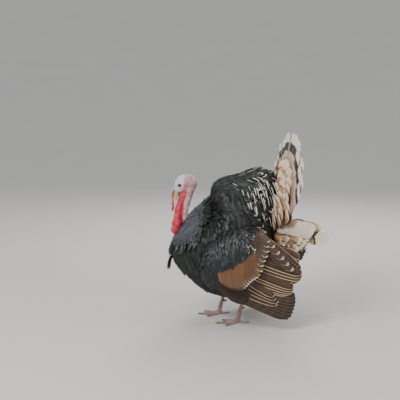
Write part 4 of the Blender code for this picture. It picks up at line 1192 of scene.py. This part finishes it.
def turned(vectors):  # with the whole tail about upright
    a = math.radians(tail["turn"])
    x, y, z = np.moveaxis(np.asarray(vectors, float), -1, 0)
    return np.stack([x * math.cos(a) - y * math.sin(a), x * math.sin(a) + y * math.cos(a), z], -1)


def fanDirection(angle, sweep):
    # Upright leaned back, times the cosine of angle, plus outward swept back, times its sine.
    a, lean, back = np.radians(angle), math.radians(tail["lean"]), math.radians(sweep)
    upright = np.array([math.sin(lean), 0, math.cos(lean)])
    out = joined(math.sin(back), math.cos(back) * np.where(a < 0, -1.0, 1.0), 0)
    return turned(upright * np.cos(a)[..., None] + out * np.abs(np.sin(a))[..., None])


fanNormal = turned([-math.cos(math.radians(tail["lean"])), 0, math.sin(math.radians(tail["lean"]))])


def fanLayer(layer, angles, sweep, start, end, out, offset, halfWidth, cell, **shape):
    # Feathers that spring from the tail's root at their angles, from start to end along each direction.
    ahead = fanDirection(angles, sweep)
    out = np.broadcast_to(out, ahead.shape)
    start, end, offset = (np.broadcast_to(part, len(angles))[:, None] for part in (start, end, offset))
    roots, tips = tailRoot + ahead * start + out * offset, tailRoot + ahead * end + out * offset
    shape = {**flatVane, "cup": 0.1, "rows": fanRows, "profile": fanTip, **shape}
    layer.add(roots, tips - roots, out, *cell, length=(end - start)[:, 0], halfWidth=halfWidth, **shape)


def fanAngles(count, halfSpread, shift=0.5):  # even angles across the fan, shifted by a share of a step
    return halfSpread * (2 * (np.arange(count) + shift) / count - 1)


def makeFan():
    # Feathers side by side, a little shorter and deeper at the sides.
    layer, count = Coat("tailFan", "fan"), tail["feathers"]
    angles = fanAngles(count, tail["halfSpread"])
    one, two, three, four = chances(count, 51, 52, 53, 54)
    lengths = tail["length"] * (1 - 0.03 * (angles / tail["halfSpread"]) ** 2) * (0.985 + 0.015 * one)
    rank = np.abs(angles) / tail["halfSpread"]
    fanLayer(layer, angles, tail["sweep"], 0.03, lengths, fanNormal, 0.001 - 0.0035 * rank, 0.0345,
             cellsFor(count), twist=np.sign(angles) * 4.0 + (two - 0.5) * 5, fray=0.03, seed=52,
             curl=(three - 0.5) * 5, sway=(four - 0.5) * 0.02)
    layer.build("tail_fan")


def makeOuterTail(name, side):
    # Four feathers that droop beside the fan, each a little lower, shorter and further out.
    layer, t = Coat("outerTail" + name.title(), "fan"), np.array([0.14, 0.4, 0.66, 0.9])
    angles = side * (81.5 + 4.0 * t)
    across = unit(np.cross(fanDirection(angles, 20), up) * side)
    fanLayer(layer, angles, 20, 0.06, 0.41 - 0.05 * t, across, 0.001 * np.arange(4), 0.0185, cellsFor(4),
             twist=6.0 * side, fray=0.03, seed=55, curl=5.0, pale=1.0)
    layer.build("tail_outer_" + name)


def makeSideCoverts(name, side):
    # Soft pale coverts that spring beside the fan and droop over the outer feathers, before and behind
    # them, and shorter barred ones below them.
    layer, count = Coat("sideCoverts" + name.title(), "covert"), 5
    lineTo = lambda angle, reach, t, sweep: (
        tailRoot + fanDirection(side * (angle[0] + angle[1] * t), sweep) * (reach[0] + reach[1] * t)[:, None])
    for face, k, part in [(f, k, part) for f in (1, -1) for k in range(5 if f > 0 else 3) for part in (1, 0)]:
        rootAngle, rootReach, tipAngle, tipReach, pale = tail["sideFans"][part]
        start, end, offset = tail["sideRows"][k]
        t = (np.arange(count) + 0.25 + 0.5 * (k % 2)) / count
        mix = chance(count, 56 + k + 9 * part)
        first = lineTo(rootAngle, rootReach, t, 10)
        chord = lineTo(tipAngle, tipReach, t, 18) - first
        out = unit(np.cross(chord, up) * -side * face)
        low = 0.02 + 0.1 * k if face > 0 else 0.54 + 0.14 * k
        brown = (mix < 0.75) * (0.4 + 0.5 * mix) * part
        layer.add(first + chord * start + out * (offset - 0.003 * part), chord, out,
                  *cellsFor(count, 0.02 + 0.49 * part, 0.49 + 0.49 * part, low, low + 0.09),
                  pale=np.clip(pale + 0.2 * mix, 0, 1) * (1 if face > 0 else 0.45), brown=brown,
                  length=np.linalg.norm(chord, axis=1) * (end - start) * (0.92 + 0.08 * mix),
                  halfWidth=0.015 + 0.003 * mix - 0.005 * part, lift=4.0 + 4 * mix, curl=8.0 + 4 * k,
                  cup=0.12, twist=-side * face * (6 + (mix - 0.5) * 10), fray=0.05, seed=56 + k, **softVane)
    layer.build("tail_side_coverts_" + name)


def makeTailCoverts():
    # Coverts in front of the fan, in rows that reach further out, and their shorter rows behind it.
    layer = Coat("tailCoverts", "covert")
    for k, (start, end, count, offset, wide) in enumerate(tail["coverts"]):
        angles = fanAngles(count, 63, 0.5 * (k % 2) + 0.25)
        one, two, three, four = (chance(count, seed + k) for seed in (61, 71, 81, 91))
        bow = (angles / 64) ** 2
        near = 1 - 0.22 * bow
        twist = np.sign(angles) * 30 * np.cos(np.radians(angles)) + (three - 0.5) * 20
        fanLayer(layer, angles, tail["sweep"], start * near, end * near * (0.97 + 0.06 * one), fanNormal,
                 offset * (1 - 0.35 * bow), wide, cellsFor(count, low=0.02 + 0.12 * k, high=0.13 + 0.12 * k),
                 **softVane, lift=9.0 + 3 * k + 9 * two, curl=14.0 + 3 * k, cup=0.2,
                 twist=twist, fray=0.06, seed=62 + k,
                 pale=0.05 + 0.3 * four**2 + (0.15 if k > 3 else 0))
    layer.build("tail_coverts")
    layer = Coat("undertailCoverts", "covert")
    for k, (start, end, count, offset, wide) in enumerate(tail["undertail"]):
        angles = fanAngles(count, 66, 0.5 * (k % 2) + 0.25)
        one, two = chances(count, 63 + k, 66 + k)
        fanLayer(layer, angles, tail["sweep"], start, end * (0.95 + 0.1 * one), -fanNormal, offset, wide,
                 cellsFor(count, low=0.02 + 0.2 * k, high=0.2 + 0.2 * k), rows=bladeRows, profile=roundTip,
                 lift=8.0, curl=12.0, cup=0.2, fray=0.12, seed=65 + k,
                 brown=0.75 * (two < 0.75), pale=0.3)
    layer.build()


makeFan()
for sideName, sign in sides.items():
    makeOuterTail(sideName, sign)
    makeSideCoverts(sideName, sign)
makeTailCoverts()


def makeFluff():
    # Loose soft feathers of the vent, below the tail, and on the thighs.
    surface = undertailSurface(fluff["ventDepth"])
    s, turn, p, n = rootsOn(surface, (0.02, 0.98), (0, 360), evenly(fluff["ventSpacing"]))
    one, two = chances(len(p), 101, 102)
    layer = Coat("ventFluff", "down")
    layer.add(p, np.array([1.0, 0, -0.35]) + 0.3 * n * (0, 1, 1), n, joined(s, turn / 360),
              pale=(one < 0.3) * (0.6 + 0.4 * two), brown=0.6 * two, length=0.04 + 0.018 * two,
              halfWidth=0.0105 + 0.003 * one, lift=32 + 20 * one, curl=24 + 18 * two, cup=0.35,
              twist=(two - 0.5) * 40, sway=(one - 0.5) * 0.2, fray=0.3, seed=103)
    s, turn, one, two = chances(fluff["loose"], 107, 108, 109, 110)  # looser ones round its end
    s, turn = 0.66 + 0.3 * s, 360 * turn
    p, n = surface(s, turn)
    layer.add(p, np.array([1.0, 0, -0.45]) + 0.7 * n, n, joined(s, turn / 360),
              pale=(one < 0.35) * 0.9, brown=0.9 * two, length=0.04 + 0.022 * two,
              halfWidth=0.007 + 0.003 * one, lift=12 + 20 * one, curl=10 + 22 * two, cup=0.25,
              twist=(two - 0.5) * 50, sway=(one - 0.5) * 0.3, fray=0.15, seed=112)
    layer.build()
    layer = Coat("thighFeathers", "down")
    for side, shift in (("left", 0.0), ("right", 0.5)):
        s, turn, p, n = rootsOn(thighSurface(side, fluff["thighDepth"]), (0.05, 0.97), (0, 360),
                                evenly(fluff["thighSpacing"]), lambda p, turn: p[:, 2] < fluff["thighTop"])
        one, two = chances(len(p), 104, 105)
        layer.add(p, (0.25, 0, -1.0), n, joined(s * 0.48 + shift, turn / 360),
                  brown=0.25 + 0.4 * two, length=0.024 + 0.008 * two, halfWidth=0.0058,
                  lift=16 + 12 * one, curl=16.0, cup=0.35, twist=(two - 0.5) * 20, fray=0.2, seed=106)
    layer.build()


makeFluff()


bill = {  # along the bill, distance below its axis, half width and half height
    "upper": ((0.018, 0.03, 0.042, 0.053, 0.062, 0.069, 0.0725),
              (-0.0055, -0.0055, -0.005, -0.0042, -0.003, -0.0012, 0.0006),
              (0.01, 0.0096, 0.0086, 0.0068, 0.0048, 0.0026, 0.0008),
              (0.0124, 0.0126, 0.0122, 0.0102, 0.0072, 0.0036, 0.0009)),
    "lower": ((0.02, 0.032, 0.045, 0.056, 0.064, 0.069), (0.0118, 0.0108, 0.0086, 0.0062, 0.0044, 0.0034),
              (0.0088, 0.0082, 0.007, 0.0052, 0.0034, 0.001),
              (0.0044, 0.0044, 0.004, 0.0032, 0.0022, 0.0008)),
    "nostril": (0.037, 0.0032, 0.85, 0.3),  # place and size along the bill, then round it
}


def makeBill(name, flat):
    # Rings along the bill: flat towards the cut between the halves, arched away from it, drawn to a point.
    t = even(46)
    at, drop, wide, tall = (smoothBetween(t, even(len(line)), line)[:, None] for line in bill[name])
    path = (headOrigin + ahead * at - crown * drop)[:, None]
    turn = circle(32)
    rise = np.sin(turn) * np.where(np.sin(turn) * flat > 0, 1.0, 0.42)
    ridge = 1 + 0.1 * np.exp(-(np.cos(turn) / 0.25) ** 2)
    rings = (path + np.array([0, 1, 0]) * (wide * np.cos(turn))[..., None]
             + crown * (tall * rise * ridge)[..., None])
    if flat > 0:
        spot, size, angle, spread = bill["nostril"]
        far = ((at - spot) / size) ** 2
        pit = sum(np.exp(-(far + ((turn - a) / spread) ** 2)) for a in (angle, math.pi - angle))
        rings -= unit(rings - path) * (0.0015 * pit)[..., None]
    shell = Shells("bill" + name.title(), "horn", marks=["tip"])
    shell.add(rings, tip=(0.25 + 0.75 * t)[:, None])
    shell.build("bill_" + name)


makeBill("upper", 1)
makeBill("lower", -1)


def makeTongue():  # fills the gape between the halves: a flat tapering form, dark red
    t = even(24)
    path = headOrigin + ahead * (0.02 + 0.036 * t)[:, None] - crown * (0.003 + 0.0012 * t)[:, None]
    wide = 0.0078 * smoothBetween(t, [0, 0.4, 0.8, 1.0], [1.0, 0.86, 0.52, 0.08])
    tall = np.interp(t, [0, 0.5, 1.0], [0.0072, 0.0036, 0.001])
    shell = Shells("tongue", "skin", marks=skinMarks)
    # red, darkened by painted shade as the inside of the mouth
    shell.add(ringsAlong(path, wide, tall, 20, crown), red=1.0, bare=1.0, valley=1.0, dusk=0.45)
    shell.build()


makeTongue()


def makeEye(name, side):
    # A ball of rings about its own axis, which points out and a little ahead; the cornea bulges.
    centre = headOrigin + ahead * eye["along"] + crown * eye["above"] + np.array([0, side * eye["out"], 0])
    axis = unit(np.array([0, side, 0]) + ahead * 0.1 + crown * 0.12)
    level, turn = np.linspace(0.012, math.pi - 0.012, 36)[:, None], circle(40)[:, None]
    first = unit(np.cross(axis, crown))
    ring = np.cos(turn) * first + np.sin(turn) * np.cross(axis, first)
    radius = eye["radius"] * (1 + 0.05 * np.exp(-(level / 0.55) ** 2))[..., None]
    rings = centre + radius * (np.cos(level)[..., None] * axis + np.sin(level)[..., None] * ring)
    shell = Shells("eye" + name.title(), "eye", marks=["reach"])
    shell.add(rings, reach=np.clip(level / 1.2, 0, 1))
    shell.build("eye_" + name)


for sideName, sign in sides.items():
    makeEye(sideName, sign)


beard = {"count": 90, "root": (-0.176, 0, 0.284), "tip": (-0.2, 0, 0.204), "halfWidth": 0.0009,
         "lift": 22.0, "curl": 44.0}


def makeBeard():
    # Coarse bristles that leave the breast together and part a little towards their tips.
    layer, count = Coat("beardBristles", "bristle"), beard["count"]
    pair = evenPairs(count, 0.4) - 0.5
    a, b = pair.T
    start = beard["root"] + joined(a * 0.008, b * 0.01, -a * 0.006)
    end = beard["tip"] + joined(a * 0.016, b * 0.02, 0.02 * chance(count, 111))
    layer.add(start, end - start, (-0.9, 0, 0.35), 0.5 + pair * 0.9, (0.02, 0.02), lift=beard["lift"],
              curl=beard["curl"], length=np.linalg.norm(end - start, axis=1) * 1.03,
              halfWidth=beard["halfWidth"], cup=0.0, thick=0.0007,
              sway=(chance(count, 112) - 0.5) * 0.1, rows=(0, 0.15, 0.3, 0.45, 0.6, 0.75, 0.88, 1.0),
              profile=((0, 0.7, 1.0), (1.0, 0.85, 0.25)))
    layer.build("beard")


makeBeard()


toes = {  # heading from straight ahead outwards in degrees, length, radius, start height, claw's length
    "middle": (2, 0.074, 0.0074, 0.0115, 0.019), "inner": (-36, 0.056, 0.0068, 0.011, 0.019),
    "outer": (38, 0.058, 0.0068, 0.011, 0.019), "hind": (168, 0.036, 0.0056, 0.013, 0.015),
}
shankRadius = 0.0085


def plates(t, count, deep):  # overlapping plates along a leg: a saw tooth of count teeth, deep at each edge
    phase = np.mod(t * count, 1.0)
    return deep * (phase**1.6 - 0.5), step(phase, 0.86, 1.0) + step(phase, 0.1, 0.0)


def makeFoot(side, sign):
    # A shank and four toes as tubes with plates in front and above; claws and spur are horn.
    ankle, hock = ankleOf(side), hockOf(side)
    foot = Shells("foot" + side.title(), "scale", marks=["groove", "sole"])
    horn = Shells("claws" + side.title(), "claw", marks=["tip"])
    t, turn = even(90), circle(28)
    bends = [hock, hock * 0.6 + ankle * 0.4, hock * 0.15 + ankle * 0.85, ankle - (0, 0, 0.004)]
    path = curveThrough(bends, t)
    radius = shankRadius * smoothBetween(t, even(7), [1.25, 1.02, 0.9, 0.88, 0.92, 1.08, 1.15])
    lift, groove = (part[:, None] for part in plates(t, 17, 0.0007))
    facing = step(np.sin(turn), -0.1, 0.5)  # the front plates; the back is pebbled
    pebble = 0.0003 * np.sin(turn * 9) * np.sin(t * 210)[:, None] * (1 - facing)
    rings = swelled(ringsAlong(path, radius * 0.9, radius, 28, (-1, 0, 0)), lift * facing + pebble - 0.0006)
    # groove paints shade between the front plates, and a third as much over the pebbled back
    foot.add(rings, groove=groove * facing + (1 - facing) * 0.35)
    for name, (heading, length, radius, height, long) in toes.items():
        way = math.radians(heading) * sign
        along = np.array([-math.cos(way), math.sin(way), 0])
        base = np.array([ankle[0], ankle[1], 0])
        t = even(64)
        lift = radius * 0.36 + (height - radius * 0.36) * (1 - t) ** 3
        path = base + along * (t * length)[:, None] + up * lift[:, None]
        wide = radius * smoothBetween(t, even(7), [1.1, 0.98, 0.86, 1.0, 0.84, 0.9, 0.54])
        wide[-3:] *= np.array([0.97, 0.88, 0.62])
        rings = ringsAlong(path, wide, wide, 24)
        tooth, groove = (part[:, None] for part in plates(t, length / 0.0042, 0.0006))
        upper = step(unit(rings - rings.mean(1, keepdims=True))[..., 2], 0.05, 0.5)
        rings = swelled(rings, tooth * upper - 0.0003)
        under = step(rings[..., 2], 0.004, 0.0012)
        rings[..., 2] = np.maximum(rings[..., 2], 0.0)
        foot.add(rings, groove=groove * upper, sole=under)
        t = even(26)
        rise = 0.0024 * np.sin(math.pi * t * 0.8) - 0.0012 * t
        tip = base + along * length + up * radius * 0.36
        path = tip - along * 0.003 + along * (t * long)[:, None] + up * rise[:, None]
        wide = radius * smoothBetween(t, [0, 0.25, 0.5, 0.75, 0.95, 1.0], [0.5, 0.47, 0.38, 0.26, 0.12, 0.04])
        rings = ringsAlong(path, wide * 0.8, wide * 1.05, 18)
        rings[..., 2] = np.maximum(rings[..., 2], 0.0005)
        horn.add(rings, tip=t[:, None])
    seat = ankle * 0.68 + hock * 0.32
    path = curveThrough([seat + (0.002, -sign * 0.002, 0), seat + (0.015, -sign * 0.006, 0.001),
                         seat + (0.0225, -sign * 0.008, 0.006)], t)
    wide = 0.005 * smoothBetween(t, [0, 0.3, 0.6, 0.85, 1.0], [1.0, 0.88, 0.62, 0.3, 0.05])
    horn.add(ringsAlong(path, wide, wide, 18), tip=t[:, None])
    foot.build("foot_" + side)
    horn.build("spur_" + side, *("claw_%s_%s" % (side, name) for name in toes))


for sideName, sign in sides.items():
    makeFoot(sideName, sign)


stage = {
    "flat": 5.0, "reach": 22.0, "rise": 6.0, "floor": (0.63, 0.615, 0.595),
    "world": (0.84, 0.85, 0.87), "worldStrength": 0.76,
    "lights": {  # place, target, size, power and colour
        "key": ((-1.9, -2.2, 2.6), (0, 0, 0.35), 1.4, 95, (1.0, 0.97, 0.92)),
        "fill": ((2.6, -1.6, 1.4), (0, 0, 0.35), 2.2, 26, (0.92, 0.96, 1.0)),
        "rim": ((0.8, 2.6, 2.4), (0, 0, 0.4), 1.6, 55, (1.0, 0.98, 0.95))},
    # the camera's azimuth and elevation about the point between the feet, and its distance; in millimetres
    # its lens, its sensor's width, and how far right of and below the sensor's middle that point falls
    "azimuth": -7.0, "elevation": 7.5, "distance": 3.4, "lens": 76.5, "sensor": 36.0, "right": 1.8,
    "below": 10.665,
}


def makeFloor():
    # A round floor: past flat it climbs by rise times the square of the way to reach, so that no horizon
    # shows.
    paint = Paint("paleFloor")
    cloud = paint.noise(paint.place(), 2.2, 4.0)
    paint.colour = paint.blend(cloud, toned(stage["floor"], 0.96), toned(stage["floor"], 1.04))
    finish = paint.finish(Roughness=0.85, Normal=paint.bump(cloud, 0.1, 0.002))
    radii = np.concatenate([[0.02], np.linspace(0.5, stage["reach"], 44)])
    r, turn = np.meshgrid(radii, circle(96), indexing="ij")
    climb = stage["rise"] * np.clip((r - stage["flat"]) / (stage["reach"] - stage["flat"]), 0, 1) ** 2
    quads, ends = tubeFaces(*r.shape)
    points = np.stack([r * np.cos(turn), r * np.sin(turn), climb - 0.0005], -1)
    floor = addPiece("floor", points, quads[:, ::-1], finish, [ends[:1, ::-1]], move=False)


def addThing(name, data, x, y, z, spot):  # its own axes and its place, as the columns of one matrix
    thing = bpy.data.objects.new(name, data)
    bpy.context.scene.collection.objects.link(thing)
    thing.matrix_world = Matrix(np.column_stack([x, y, z, spot]).tolist() + [[0, 0, 0, 1]])
    return thing


def makeStage():
    # Floor, a plain world, three soft disks of light, and the camera.
    makeFloor()
    world = bpy.data.worlds.new("studio")
    world.use_nodes = True
    background = world.node_tree.nodes["Background"]
    background.inputs["Color"].default_value = (*stage["world"], 1.0)
    background.inputs["Strength"].default_value = stage["worldStrength"]
    bpy.context.scene.world = world
    for name, (place, target, size, power, colour) in stage["lights"].items():
        data = bpy.data.lights.new(name, "AREA")
        data.shape, data.size, data.energy, data.color = "DISK", size, power, colour
        z = unit(np.array(place) - np.array(target))
        x = unit(np.cross(up, z))
        addThing(name, data, x, np.cross(z, x), z, place)
    a, e, distance = math.radians(stage["azimuth"]), math.radians(stage["elevation"]), stage["distance"]
    right = np.array([math.cos(a), math.sin(a), 0])
    back = np.array([math.sin(a) * math.cos(e), -math.cos(a) * math.cos(e), math.sin(e)])
    over = np.cross(back, right)
    shift = (over * stage["below"] - right * stage["right"]) / stage["lens"]
    spot = -middle + (back + shift) * distance
    data = bpy.data.cameras.new("camera")
    data.sensor_width, data.lens = stage["sensor"], stage["lens"]
    data.clip_start, data.clip_end = 0.1, 60.0
    bpy.context.scene.camera = addThing("camera", data, right, over, back, spot)


makeStage()
print("floor, lights and camera made")
